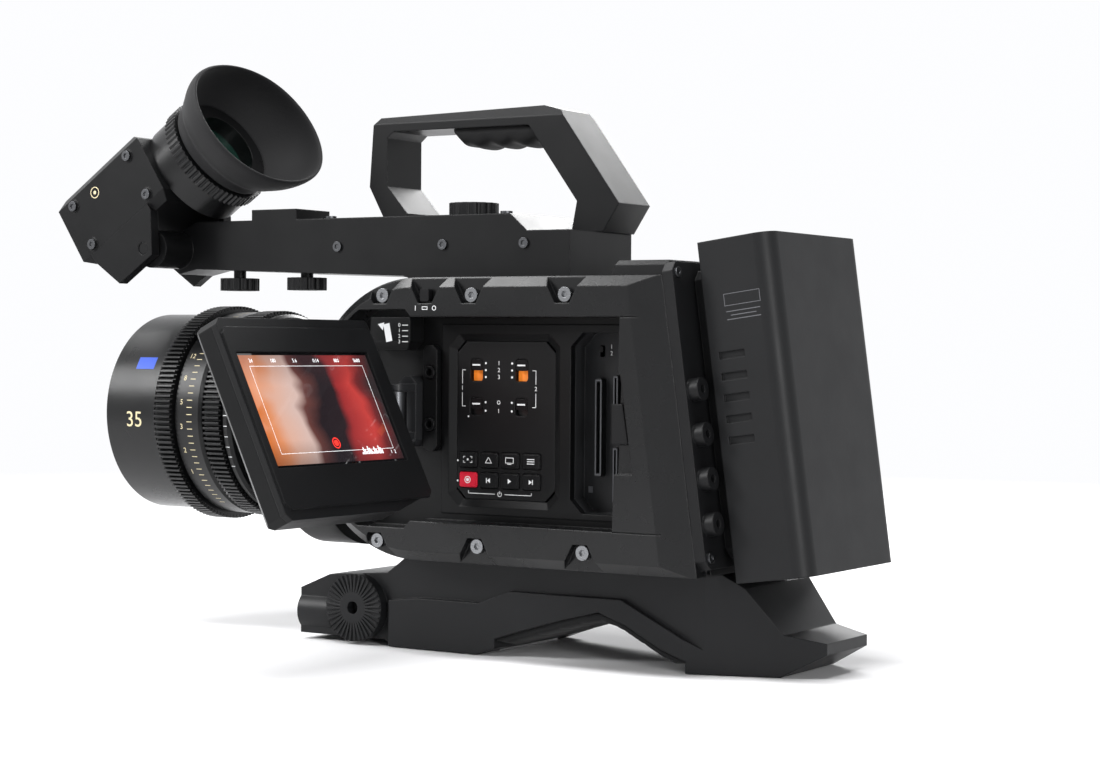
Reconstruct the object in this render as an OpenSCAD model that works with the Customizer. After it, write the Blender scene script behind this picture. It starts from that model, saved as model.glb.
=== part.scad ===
// Shoulder-mount cinema camera: body, lens, monitor, viewfinder, handle, battery and shoulder base.
// X runs from the lens (minus) to the battery (plus), Y from the operator side (minus) to the far side.
// The origin is the tripod hole in the underside of the base, and Z = 0 is the plane it stands on.

/* [Body] */
// Height of the shoulder base under the body
base_height = 43; // [40:0.5:46]
// Height of the body
body_height = 127.5; // [124:0.5:132]
// Half width of the body over its side covers
side_half = 62; // [60:0.5:66]
// Distance from the tripod hole to the front face of the body
front_reach = 56; // [53:0.5:59]
// Radius of the two front corners
front_arc = 60; // [57:0.5:62]
// Distance from the front face back to the centres of the front corners
arc_back = 54; // [52:0.5:56]
// Distance from the tripod hole to the rear edge at the underside
rear_foot = 142; // [139:0.5:146]
// Angle at which the rear edge leans forward
rear_rake = 8; // [6:0.5:9]
// Depth of the side covers outside the side frames
trim_depth = 14; // [13:0.5:16]
// Thickness of a side frame
frame_t = 4; // [3:0.5:5]
// Wall of the cast chassis
body_wall = 4; // [3:0.5:5]
// Bevel along the outer edge of a side cover
edge_bevel = 4.5; // [3:0.5:6]
// Height of the top rail of a side cover
top_rail = 17.8; // [16:0.2:19]
// Height of the bottom rail of a side cover
bottom_rail = 18; // [16:0.5:19]
// Width of the strip that carries a side cover round the front corners
strip_w = 6; // [5:0.5:7]
// Width of the rear post of a side cover at the underside
post_w = 36; // [34:0.5:38]
// Width of the facet behind the rear ridge
facet_w = 14.5; // [12:0.5:16]
// Depth of that facet at the rear edge
facet_depth = 5; // [3:0.5:7]
// Height of the hump at the rear of the top cover
hump_rise = 6.7; // [5:0.1:8]
// Length of the hump
hump_len = 29; // [26:0.5:31]
// Thickness of the top cover
top_cover_t = 3; // [2.5:0.1:3.5]

/* [Cover screws] */
// Head diameter of a cover screw
screw_head_d = 6.5; // [6:0.1:7]
// Height of a screw head
screw_head_h = 2; // [1.5:0.1:2.5]
// Width across the flats of the key socket
screw_socket = 3; // [2.5:0.1:3.2]
// Depth of the pocket round each screw
pocket_depth = 4; // [3.5:0.1:5]
// Width of the narrow end of a pocket
pocket_inner_w = 7.4; // [7.2:0.1:9]
// Width of the wide end of a pocket
pocket_outer_w = 20; // [17:0.5:22]
// Distance from the top or bottom edge of the cover to a screw
screw_drop = 8.1; // [7.5:0.1:9]
// Distance between neighbouring screws along a rail
screw_pitch = 48.5; // [46:0.5:50]
// Place of the middle screw of the top rail behind the tripod hole
top_screw_x = 29; // [27:0.5:31]
// Place of the middle screw of the bottom rail behind the tripod hole
bottom_screw_x = 33; // [31:0.5:35]

/* [Control panel] */
// Width of the panel window in the side frame
window_w = 60.2; // [58:0.2:62]
// Height of the panel window
window_h = 79; // [77:0.5:81]
// Place of the window's middle behind the tripod hole
window_x = 38.8; // [38:0.1:39.6]
// Height of the window's middle above the underside of the body
window_rise = 63.5; // [62:0.5:65]
// Chamfer of the window's corners
window_chamfer = 6; // [5:0.5:7]
// Width of the sloped bezel inside the window
bezel_w = 4; // [3.5:0.1:4.5]
// Depth of the panel face below the side frame
panel_recess = 2; // [1.5:0.1:2.2]
// Thickness of the panel
panel_t = 2; // [1.8:0.1:2.5]
// Width of a key
key_w = 9.4; // [9:0.1:9.8]
// Height of a key
key_h = 6.8; // [6.4:0.1:7]
// Distance between neighbouring keys in a row
key_pitch = 11.2; // [11:0.1:11.5]
// Distance between the two rows of keys
row_pitch = 9.1; // [8.8:0.1:9.5]
// How far a key stands out of the panel
key_proud = 0.8; // [0.7:0.1:1.2]
// Travel of a key
key_travel = 0.7; // [0.4:0.1:0.9]
// Height of a key from its face to its foot
key_depth = 4.6; // [4.4:0.1:5]
// Distance between the two columns of slide switches
switch_pitch = 24; // [23:0.5:25]
// Distance between the two rows of slide switches
switch_row = 16.3; // [15.5:0.1:17]
// Width of a slide switch slot
slot_w = 6.8; // [6.6:0.1:7.4]
// Height of a three-way slot
slot3_h = 10.1; // [9.8:0.1:10.6]
// Height of a two-way slot
slot2_h = 7.9; // [7.6:0.1:8.4]
// Step of a slide switch between two positions
switch_step = 2.3; // [2.1:0.1:2.4]
// Gap round keys and switch knobs
key_gap = 0.35; // [0.3:0.05:0.4]

/* [Media bay] */
// Width of the media bay behind the side frame
bay_w = 32; // [30:0.5:33]
// Distance from the panel window to the media bay
bay_gap = 4.9; // [4.5:0.1:5.5]
// Depth of the bay below the side frame
bay_depth = 12; // [11:0.5:13]
// Wall of the bay tray
bay_wall = 1.5; // [1.2:0.1:1.8]
// Length of a large card slot
cfast_len = 43.4; // [42.8:0.2:44]
// Width of a large card slot's frame
cfast_w = 3.6; // [3.4:0.1:4]
// Length of a small card slot
sd_len = 24.6; // [24:0.2:25]
// Width of a small card slot's frame
sd_w = 2.6; // [2.4:0.1:3]
// Width of the card openings
card_opening = 1.6; // [1.4:0.1:1.8]
// Travel of the card selector
selector_travel = 1.6; // [1.4:0.1:1.8]

/* [Monitor] */
// Width of the folding monitor
monitor_w = 105; // [102:0.5:108]
// Height of the monitor
monitor_h = 91.4; // [88:0.5:91.5]
// Thickness of the monitor
monitor_t = 14.5; // [14:0.5:16]
// Width of the picture
picture_w = 88; // [86:0.5:89]
// Height of the picture
picture_h = 50; // [48:0.5:52]
// Distance from the monitor's top edge to the picture
picture_drop = 17.5; // [16:0.5:19]
// Tilt of the monitor in the open position
monitor_tilt = 25.7; // [20:0.1:30]
// Distance of the swing axis ahead of the tripod hole
swing_front = 8; // [7:0.5:9]
// Distance of the swing axis outside the side covers
swing_out = 2; // [1.5:0.5:3]
// Diameter of the swing pin
swing_pin_d = 4; // [3.5:0.1:4.5]
// Diameter of the barrel on the swing pin
swing_barrel_d = 9; // [8.5:0.1:9.2]
// Height of that barrel
swing_barrel_h = 18; // [16:0.5:20]
// Diameter of the tilt shaft
tilt_shaft_d = 7; // [6:0.1:7.5]

/* [Filter housing and lens] */
// Height of the lens axis above the underside of the body
axis_rise = 62.4; // [61:0.2:64]
// Depth of the filter housing in front of the body
nd_depth = 24; // [23:0.5:26]
// Radius of the filter wheel over its knurled rim
wheel_r = 43; // [42.5:0.1:43.5]
// Thickness of the filter wheel
wheel_t = 6; // [5:0.5:7]
// Radius of a filter in the wheel
filter_r = 14.6; // [14:0.1:14.8]
// Distance from the wheel's middle to the middle of a filter
filter_orbit = 21.8; // [21.6:0.1:22.2]
// Length of the lens mount tube in front of the filter housing
mount_len = 20; // [19:0.5:22]
// Radius of the lens mount tube
mount_r = 36; // [35:0.5:37]
// Radius of the mount's throat
throat_r = 27; // [26:0.5:27.5]
// Radius of the lens lock ring
lock_r = 41; // [40:0.5:43]
// Length of the lens in front of the mount
lens_len = 98; // [96:0.5:101]
// Radius of the lens's front barrel
lens_front_r = 49.4; // [48.5:0.1:50]
// Length of the lens's front barrel
lens_front_len = 33; // [32:0.5:34]
// Length of the focus ring
focus_len = 30; // [29:0.5:31]
// Radius of the focus ring beside its gear
focus_r = 50.5; // [49.8:0.1:51]
// Number of teeth on the focus gear
focus_teeth = 132; // [130:1:134]
// Length of the iris ring
iris_len = 15; // [14:0.5:16]
// Number of teeth on the iris gear
iris_teeth = 126; // [124:1:127]
// Module of the lens gears
gear_module = 0.8; // [0.78:0.01:0.82]
// Radius of the lens's inner tube, which carries the two rings
lens_tube_r = 40; // [39:0.5:41]

/* [Viewfinder] */
// Length of the viewfinder case
finder_len = 62; // [60:0.5:63]
// Height of the viewfinder case across its axis
finder_h = 38; // [37:0.5:40]
// Width of the viewfinder case
finder_w = 60; // [58:0.5:62]
// Angle of the viewfinder's axis
finder_tilt = 34; // [33:0.5:36]
// Radius of the viewfinder barrel
finder_barrel_r = 27; // [25:0.5:28]
// Radius of the eyecup's mouth
eyecup_r = 34.5; // [33:0.5:36]
// Length of the eyecup
eyecup_len = 24; // [22:0.5:25]
// Diameter of the pin on which the viewfinder tilts
finder_pin_d = 6; // [5:0.5:7]

/* [Handle] */
// Length of the top handle
handle_len = 138.6; // [135:0.2:142]
// Height of the top handle above its base
handle_h = 67; // [64:0.5:70]
// Half width of the top handle
handle_half = 14; // [13:0.5:15]
// Height of the base plate of the handle
handle_base_h = 29; // [27:0.5:30]
// Diameter of the accessory knob on the base plate
top_knob_d = 23; // [21:0.5:25]
// Diameter of the two knobs under the base plate
bar_knob_d = 19; // [18:0.5:20]

/* [Battery] */
// Thickness of the battery plate
plate_t = 12; // [11:0.5:13]
// Thickness of the battery
battery_t = 34; // [32:0.5:38]
// Half width of the battery
battery_half = 45; // [43:0.5:47]
// Height of the battery
battery_h = 145; // [140:0.5:148]
// Distance that the battery reaches below the underside of the body
battery_drop = 4; // [3:0.5:5]

/* [Base] */
// Half width of the shoulder base
base_half = 40; // [38:0.5:42]
// Length of the shoulder base
base_len = 268; // [264:0.5:272]
// Distance from the tripod hole to the front of the base
base_front = 83; // [81:0.5:85]
// Diameter of the tripod thread's bore
tripod_d = 9.525; // [9.5:0.001:9.6]
// Diameter of the rosettes
rosette_d = 31.8; // [30:0.2:32]
// Number of teeth on a rosette
rosette_teeth = 36; // [30:1:40]
// Diameter of the rod bores
rod_d = 15; // [14.9:0.1:15.2]
// Distance between the two rods
rod_pitch = 60; // [58:0.5:60]

/* [Hidden] */
$fn = 64;
// Overrun of a cut beyond the face it opens
over = 1;
// Seam between two pieces of one assembly
seam = 0.3;
// Running gap round a pin or a shaft, on the radius
run_fit = 0.05;
// Gap between pieces that move past each other
move_gap = 0.4;
// Reach of a cutting block beyond the whole camera
reach = 400;
// Sides of a hexagonal key socket
hex_sides = 6;

body_bottom = base_height;
body_top = base_height + body_height;
arc_x = arc_back - front_reach;
swing_x = -swing_front;
top_arc_z = body_top - front_arc;
bottom_arc_z = body_bottom + front_arc;
frame_face = side_half - trim_depth;
chassis_half = frame_face - frame_t;
inner_half = chassis_half - body_wall;
recess_top = body_top - top_rail;
recess_bottom = body_bottom + bottom_rail;

function rear_x(z) = rear_foot - (z - body_bottom) * tan(rear_rake);
function placed(shares, x0, z0, w, h) = [for (s = shares) [x0 + s[0] * w, z0 + s[1] * h]];

// Outline in X and Z, made solid between two values of Y
module slab(y0, y1) translate([0, y1, 0]) rotate([90, 0, 0]) linear_extrude(y1 - y0) children();
// Outline in Y and Z, made solid between two values of X
module along_x(x0, x1) translate([x0, 0, 0]) rotate([90, 0, 90]) linear_extrude(x1 - x0) children();
// Outline in X and Y, made solid between two heights
module along_z(z0, z1) translate([0, 0, z0]) linear_extrude(z1 - z0) children();
module rod_x(x0, x1, r) translate([x0, 0, 0]) rotate([0, 90, 0]) cylinder(h = x1 - x0, r = r);
module rod_y(y0, y1, r) translate([0, y1, 0]) rotate([90, 0, 0]) cylinder(h = y1 - y0, r = r);

module round_rect(w, h, r) {
    square([w - 2 * r, h], center = true);
    square([w, h - 2 * r], center = true);
    for (x = [-1, 1], z = [-1, 1]) translate([x * (w / 2 - r), z * (h / 2 - r)]) circle(r = r);
}

module cut_rect(w, h, c)
    polygon([for (q = [[1, 1], [-1, 1], [-1, -1], [1, -1]], k = [0, 1])
        let (top = (k == 0) == (q[0] * q[1] < 0))
            [q[0] * (w / 2 - (top ? c : 0)), q[1] * (h / 2 - (top ? 0 : c))]]);

// Side view of the body, drawn in by an inset
module body_outline(inset = 0)
    intersection() {
        union() {
            polygon([[arc_x, body_bottom + inset], [rear_x(body_bottom) - inset, body_bottom + inset],
                [rear_x(body_top) - inset, body_top - inset], [arc_x, body_top - inset]]);
            for (z = [bottom_arc_z, top_arc_z]) translate([arc_x, z]) circle(r = front_arc - inset);
            translate([arc_x - front_arc + inset, bottom_arc_z])
                square([front_arc - inset, top_arc_z - bottom_arc_z]);
        }
        translate([inset - front_reach, body_bottom]) square([front_reach + rear_foot, body_height]);
    }

// Chassis: a hollow casting, open at the lens throat, the panel window and the media bay
vent_w = 44;
vent_h = 3;
vent_pitch = 6;
vent_count = 6;
vent_x = 47;
sensor_post_r = 2.5;
sensor_gap = 8;
panel_mid_z = body_bottom + window_rise;
axis_z = body_bottom + axis_rise;
bay_x = window_x + window_w / 2 + bay_gap;
bay_mid_x = bay_x + bay_w / 2;

module under_top_cover(inset)
    intersection() {
        body_outline(inset);
        translate([-front_reach, body_bottom])
            square([front_reach + rear_foot, body_height - top_cover_t - inset]);
    }

module vent_slots(y0, y1)
    for (i = [0:vent_count - 1])
        translate([vent_x, 0, panel_mid_z + (i - (vent_count - 1) / 2) * vent_pitch])
            slab(y0, y1) round_rect(vent_w, vent_h, vent_h / 3);

module chassis()
    color("#26282b") difference() {
        slab(-chassis_half, chassis_half) under_top_cover(0);
        slab(-inner_half, inner_half) under_top_cover(body_wall);
        translate([window_x, 0, panel_mid_z]) slab(-chassis_half - over, -inner_half + over)
            square([panel_w - 2 * panel_rest, panel_h - 2 * panel_rest], center = true);
        translate([bay_mid_x, 0, panel_mid_z]) slab(-chassis_half - over, -inner_half + over)
            cut_rect(bay_w + 2 * bay_wall + 2 * seam, window_h + 2 * bay_wall + 2 * seam,
                window_chamfer + bay_wall / 2);
        translate([0, 0, axis_z])
            rod_x(-front_reach - over, over - front_reach + body_wall, throat_r - body_wall);
        vent_slots(inner_half - over, chassis_half + over);
    }

// Top cover between the side covers, with the raised hump over the rear
hump_half = side_half - edge_bevel - trim_depth / 2;
hump_slant = 3;
hump_bevel = 2;

module top_cover()
    color("#1c1d1f") {
        slab(-chassis_half, chassis_half) intersection() {
            body_outline(0);
            translate([-front_reach, body_top - top_cover_t]) square([front_reach + rear_foot, top_cover_t]);
        }
        intersection() {
            slab(-hump_half, hump_half)
                polygon([[rear_x(body_top) - hump_len, body_top], [rear_x(body_top), body_top],
                    [rear_x(body_top + hump_rise), body_top + hump_rise],
                    [rear_x(body_top) - hump_len + hump_slant, body_top + hump_rise]]);
            along_x(-front_reach, rear_foot)
                polygon([[-hump_half, body_top - over], [hump_half, body_top - over],
                    [hump_half, body_top + hump_rise - hump_bevel],
                    [hump_half - hump_bevel, body_top + hump_rise],
                    [hump_bevel - hump_half, body_top + hump_rise],
                    [-hump_half, body_top + hump_rise - hump_bevel]]);
        }
    }

// Side frames: plates that close the sides and carry the panel, the bay and the monitor
frame_inset = 0.6;
gutter = 0.8;
gutter_w = 3.2;
panel_w = window_w - 2 * bezel_w;
panel_h = window_h - 2 * bezel_w;
panel_chamfer = 5;
bezel_lip = 0.7;
panel_rest = 1.2;

module window_outline(inset) cut_rect(window_w - 2 * inset, window_h - 2 * inset, window_chamfer - inset / 2);

module frame_plate() {
    slab(-frame_face + gutter, -chassis_half) body_outline(frame_inset);
    slab(-frame_face, gutter - frame_face)
        polygon([[window_x - window_w / 2 - gutter_w, recess_bottom + gutter_w],
            [rear_x(recess_bottom) - post_w / 2, recess_bottom + gutter_w],
            [rear_x(recess_top) - post_w / 2, recess_top - gutter_w],
            [window_x - window_w / 2 - gutter_w, recess_top - gutter_w]]);
    slab(-frame_face, gutter - frame_face) intersection() {
        body_outline(frame_inset);
        cover_outline();
    }
}

module left_frame()
    color("#1f2124") difference() {
        frame_plate();
        translate([window_x, 0, panel_mid_z]) {
            hull() {
                slab(-frame_face - over, -frame_face) window_outline(bezel_lip);
                slab(-frame_face, panel_recess - frame_face) window_outline(bezel_w);
            }
            slab(-frame_face, over - chassis_half) window_outline(bezel_w);
        }
        translate([bay_mid_x, 0, panel_mid_z]) slab(-frame_face - over, over - chassis_half)
            cut_rect(bay_w, window_h, window_chamfer);
    }

// The far side frame has louvres for the fan and a rosette for a hand grip
grip_rosette_x = -16;
tooth_shares = [[0.08, 0], [0.32, 1], [0.68, 1], [0.92, 0]];
rosette_t = 3;
hub_share = 0.45;
rim_step = 0.3;
inlet_x = 90;
inlet_pitch = 30;
inlet_rise = 78;
inlet_r = 11.5;
inlet_groove_r = 9.4;
inlet_core_r = 7.4;
inlet_t = 3;
pin_circle = 4.2;
pin_r = 1.1;

// Disc whose face carries radial ribs, as on a locking rosette
module toothed_disc(r, t, teeth, tooth_h, bore_r)
    difference() {
        union() {
            cylinder(h = t - tooth_h, r = r);
            translate([0, 0, t - tooth_h]) linear_extrude(tooth_h)
                polygon([for (i = [0:teeth - 1], s = tooth_shares) (s[1] == 0 ? r * hub_share : r - rim_step)
                    * [cos((i + s[0]) * 360 / teeth), sin((i + s[0]) * 360 / teeth)]]);
        }
        translate([0, 0, -over]) cylinder(h = t + 2 * over, r = bore_r);
    }

module right_frame()
    color("#1f2124") {
        difference() {
            mirror([0, 1, 0]) frame_plate();
            vent_slots(chassis_half - over, frame_face + over);
        }
        translate([grip_rosette_x, frame_face - gutter, axis_z]) rotate([-90, 0, 0])
            toothed_disc(rosette_d / 2, rosette_t, rosette_teeth, rosette_tooth, rosette_bore_d / 2);
        for (i = [0, 1]) translate([inlet_x, 0, body_bottom + inlet_rise - i * inlet_pitch]) {
            difference() {
                rod_y(frame_face, frame_face + inlet_t, inlet_r);
                difference() {
                    rod_y(frame_face + seam, frame_face + inlet_t + over, inlet_groove_r);
                    rod_y(frame_face, frame_face + inlet_t + 2 * over, inlet_core_r);
                }
                for (a = [90, 210, 330]) translate([pin_circle * cos(a), 0, pin_circle * sin(a)])
                    rod_y(frame_face + seam, frame_face + inlet_t + over, pin_r);
            }
        }
    }

// Side covers: a C-shaped moulding with bevelled rails, a faceted rear post and a strip round the front
step_ahead = 2;
step_x = -step_ahead;
step_w = 3.3;
step_h = 3.4;
strip_end = 20;
switch_x = 5.5;
latch_x = 33;
latch_w = 8;
latch_h = 45.2;
latch_rise = 41.5;
latch_button_h = 20;
latch_wall = 1.2;
latch_floor = 2;
latch_travel = 1.5;
seam_cut = 0.5;
seam_cut_depth = 1;

module arc_zone(r) {
    for (z = [bottom_arc_z, top_arc_z]) translate([arc_x, z]) circle(r = r);
    translate([arc_x - r, bottom_arc_z]) square([r, top_arc_z - bottom_arc_z]);
    translate([arc_x, body_bottom]) square([reach, body_height]);
}

// Open area between the rails, with the small step near the front
module recess_outline()
    intersection() {
        polygon([[-reach, recess_bottom - step_h], [step_x - step_w, recess_bottom - step_h],
            [step_x, recess_bottom], [reach, recess_bottom], [reach, recess_top], [step_x, recess_top],
            [step_x - step_w, recess_top + step_h], [-reach, recess_top + step_h]]);
        arc_zone(front_arc - strip_w);
    }

module cover_outline() {
    difference() {
        body_outline(0);
        recess_outline();
        translate([-reach, bottom_arc_z - strip_end])
            square([reach + arc_x, top_arc_z - bottom_arc_z + 2 * strip_end]);
    }
    intersection() {
        body_outline(0);
        polygon([[rear_x(recess_bottom) - post_w, recess_bottom - over],
            [rear_x(recess_bottom), recess_bottom - over], [rear_x(recess_top), recess_top + over],
            [rear_x(recess_bottom) - post_w + post_lean, recess_top + over]]);
    }
}
post_lean = 3;

module cover_envelope()
    intersection() {
        union() {
            for (z = [bottom_arc_z, top_arc_z]) translate([arc_x, 0, z]) rotate([90, 0, 0]) {
                cylinder(h = side_half - edge_bevel, r = front_arc);
                translate([0, 0, side_half - edge_bevel])
                    cylinder(h = edge_bevel, r1 = front_arc, r2 = front_arc - edge_bevel);
            }
            along_x(arc_x, rear_foot + over)
                polygon([[0, body_bottom], [edge_bevel - side_half, body_bottom],
                    [-side_half, body_bottom + edge_bevel], [-side_half, body_top - edge_bevel],
                    [edge_bevel - side_half, body_top], [0, body_top]]);
        }
        translate([rear_foot, 0, body_bottom]) rotate([0, -rear_rake, 0])
            along_z(-body_height, 2 * body_height)
                polygon([[-reach, 0], [-reach, -side_half], [-facet_w, -side_half],
                    [0, facet_depth - side_half], [0, 0]]);
    }

// Pocket for a screw, open towards the edge of the rail; up is 1 at the top rail and -1 at the bottom rail
module pocket(x, z, up)
    translate([x, 0, z]) slab(-side_half - over, pocket_depth - side_half)
        polygon([[-pocket_inner_w / 2, -up * pocket_inner_w / 2],
            [pocket_inner_w / 2, -up * pocket_inner_w / 2],
            [pocket_outer_w / 2, up * screw_drop], [pocket_outer_w / 2, up * (screw_drop + over)],
            [-pocket_outer_w / 2, up * (screw_drop + over)], [-pocket_outer_w / 2, up * screw_drop]]);

module screw_places()
    for (i = [-1, 0, 1]) {
        translate([top_screw_x + i * screw_pitch, 0, body_top - screw_drop]) children();
        translate([bottom_screw_x + i * (screw_pitch + screw_spread), 0, body_bottom + screw_drop])
            children();
    }
screw_spread = 6;
pocket_floor = pocket_depth - side_half;

module latch_outline(inset, h, w)
    translate([rear_x(panel_mid_z) - latch_x + inset, body_bottom + latch_rise + (latch_h - h) / 2 + inset])
        polygon([[0, 0], [w + (h + latch_h) / 2 * tan(rear_rake) - 2 * inset, 0],
            [w + (latch_h - h) / 2 * tan(rear_rake) - 2 * inset, h - 2 * inset], [0, h - 2 * inset]]);

module cover_blank()
    difference() {
        intersection() {
            slab(-side_half, -frame_face) cover_outline();
            cover_envelope();
        }
        for (i = [-1, 0, 1]) {
            pocket(top_screw_x + i * screw_pitch, body_top - screw_drop, 1);
            pocket(bottom_screw_x + i * (screw_pitch + screw_spread), body_bottom + screw_drop, -1);
        }
        // grooves where the rails meet the rear post
        for (z = [recess_bottom, recess_top]) slab(-side_half - over, seam_cut_depth - side_half)
            translate([rear_x(z) - post_w, z - seam_cut / 2]) square([post_w + over, seam_cut]);
    }

module left_cover()
    color("#17181a") difference() {
        cover_blank();
        pocket(switch_x, body_top - screw_drop, 1);
        slab(-side_half - over, latch_floor - side_half + latch_travel)
            latch_outline(latch_wall, latch_h, latch_w);
        slab(-side_half - over, over - frame_face - latch_floor) latch_button_outline(0);
    }

module right_cover() color("#17181a") mirror([0, 1, 0]) cover_blank();

module latch_button_outline(inset) latch_outline(latch_wall + inset, latch_button_h, latch_w - latch_wall);

module latch_button()
    color("#202225") slab(latch_floor - side_half, -frame_face - 2 * latch_floor)
        latch_button_outline(move_gap);

// Socket-head screws of both side covers
module screw(y0)
    difference() {
        rod_y(y0, y0 + screw_head_h, screw_head_d / 2);
        translate([0, y0 + screw_head_h / 2, 0]) rotate([90, 0, 0])
            cylinder(h = screw_head_h, d = screw_socket, $fn = hex_sides);
    }

module cover_screws()
    color("#3a3d40") for (s = [0, 1]) mirror([0, s, 0])
        screw_places() screw(pocket_floor - screw_head_h);

// Power switch in the top rail: a knob that slides between off and on
power_knob_w = 5;
power_knob_h = 6;
power_travel = 2;
power_stand = 3;
module power_switch()
    color("#101112") translate([switch_x - power_travel / 2, 0, body_top - screw_drop]) {
        slab(pocket_floor - power_stand, pocket_floor - seam)
            round_rect(power_knob_w - seam, power_knob_h - seam, seam * 3);
    }

// Control panel with its key wells and switch slots
key_shift = -2.95;
key_drop = 17.75;
switch_shift = -3.8;
switch_rise = 22.55;
panel_face = panel_recess - frame_face;
panel_back = panel_face + panel_t;
key_round = 1;
function key_x(i) = window_x + key_shift + (i - 1.5) * key_pitch;
function key_z(j) = panel_mid_z - key_drop - j * row_pitch;
function switch_col(i) = window_x + switch_shift + (i - 0.5) * switch_pitch;
function switch_mid(j) = panel_mid_z + switch_rise - j * switch_row;
function slot_h(j) = j == 0 ? slot3_h : slot2_h;
function knob_h(j) = slot_h(j) - 2 * key_gap - (2 - j) * switch_step;

module control_panel()
    color("#2b2d30") difference() {
        translate([window_x, 0, panel_mid_z]) slab(panel_face, panel_back)
            cut_rect(panel_w - seam, panel_h - seam, panel_chamfer);
        for (i = [0:3], j = [0, 1]) translate([key_x(i), 0, key_z(j)])
            slab(panel_face - over, panel_back + over)
                round_rect(key_w + 2 * key_gap, key_h + 2 * key_gap, key_round + key_gap);
        for (i = [0, 1], j = [0, 1]) translate([switch_col(i), 0, switch_mid(j)])
            slab(panel_face - over, panel_back + over) round_rect(slot_w, slot_h(j), slot_w / 4);
    }

module key(i, j, shade)
    color(shade) translate([key_x(i), 0, key_z(j)]) {
        slab(panel_face - key_proud + key_round / 2, panel_face - key_proud + key_depth)
            round_rect(key_w, key_h, key_round);
        slab(panel_face - key_proud, panel_face - key_proud + key_round / 2)
            round_rect(key_w - key_round, key_h - key_round, key_round / 2);
    }

knob_top = 0.2;
knob_dash_h = 0.9;
knob_dash_w = 4.4;
knob_dash_t = 0.4;
module slide_knob(i, j)
    color("#0d0d0e") translate([switch_col(i), 0, switch_mid(j) + (slot_h(j) - knob_h(j)) / 2 - key_gap]) {
        slab(panel_face + knob_top, panel_back + switch_gap)
            round_rect(slot_w - 2 * key_gap, knob_h(j), slot_w / 6);
        slab(panel_face + knob_top - knob_dash_t, panel_face + knob_top)
            square([knob_dash_w, knob_dash_h], center = true);
    }

// Board behind the panel, with a dome under each key and a body under each switch
switch_gap = 0.3;
switch_body_t = 3;
board_t = 1.6;
board_margin = 6;
dome_r = 1.8;
dome_gap = 0.3;
switch_rim = 2;
post_column_shares = [0.5, 1.4];
post_row_shares = [-0.2, 1.7];
board_face = panel_back + switch_gap + seam + switch_body_t;
key_foot = panel_face - key_proud + key_depth + key_travel;

module control_board()
    color("#1f5138") {
        translate([window_x, 0, panel_mid_z]) slab(board_face, board_face + board_t)
            square([panel_w - 2 * board_margin, panel_h - 2 * board_margin], center = true);
        for (i = [0:3], j = [0, 1]) translate([key_x(i), 0, key_z(j)])
            rod_y(key_foot + dome_gap, board_face, dome_r);
        for (i = [0, 1], j = [0, 1]) translate([switch_col(i), 0, switch_mid(j)])
            slab(panel_back + switch_gap + seam, board_face)
                square([slot_w + switch_rim, slot_h(j) + switch_rim], center = true);
        for (i = post_column_shares, j = post_row_shares) translate([switch_col(i), 0, switch_mid(j)])
            rod_y(panel_back, board_face, dome_r);
    }

// Media bay: a tray with two large and two small card slots
cfast_pitch = 15.2;
cfast_x = 9.4;
cfast_stand = 4;
sd_x = 17.2;
sd_stand = 2.5;
bay_floor = bay_depth - frame_face;
selector_w = 2.4;
selector_h = 2.6;
selector_x = 9;
selector_rise = 31.5;
selector_stand = 1.2;

module bar_outline(w, h) round_rect(w, h, w / 2 - seam / 3);

module slot_bar(x, z, w, h, stand)
    translate([bay_x + x, 0, z]) difference() {
        slab(bay_floor - stand, bay_floor) bar_outline(w, h);
        slab(bay_floor - stand - over, bay_floor - over) square([card_opening, h - w], center = true);
    }

module media_bay()
    color("#2a2c2f") {
        translate([bay_mid_x, 0, panel_mid_z]) difference() {
            slab(-chassis_half, bay_floor + bay_wall)
                cut_rect(bay_w + 2 * bay_wall, window_h + 2 * bay_wall, window_chamfer + bay_wall / 2);
            slab(-chassis_half - over, bay_floor) cut_rect(bay_w, window_h, window_chamfer);
            translate([selector_x - bay_w / 2, 0, selector_rise])
                slab(bay_floor - over, bay_floor + bay_wall + over)
                    round_rect(selector_w, selector_h + selector_travel + 2 * key_gap, selector_w / 4);
        }
        for (i = [0, 1])
            slot_bar(cfast_x + i * cfast_pitch, panel_mid_z - cfast_drop, cfast_w, cfast_len, cfast_stand);
        slot_bar(sd_x, panel_mid_z + sd_up, sd_w, sd_len, sd_stand);
        slot_bar(sd_x, panel_mid_z - sd_down, sd_w, sd_len, sd_stand);
    }
cfast_drop = 2;
sd_up = 8.7;
sd_down = 22.75;

module card_select_switch()
    color("#0d0d0e") translate([bay_x + selector_x, 0, panel_mid_z + selector_rise + selector_travel / 2]) {
        slab(bay_floor - selector_stand, bay_floor + bay_wall)
            round_rect(selector_w - 2 * key_gap, selector_h, selector_w / 6);
    }

// Block over the monitor hinge, with a sloped sign face, and the strip that holds the two sound jacks
block_w = 22;
block_h = 15;
block_stand = 10;
block_slant = 4;
strip_x = 0.9;
strip_width = 7.6;
strip_up = 9.5;
strip_h = 48;
strip_stand = 3;
jack_r = 3;
jack_bore_r = 1.75;
jack_pitch = 23.6;
jack_stand = 0.8;
strip_mid = panel_mid_z + strip_up;

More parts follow.
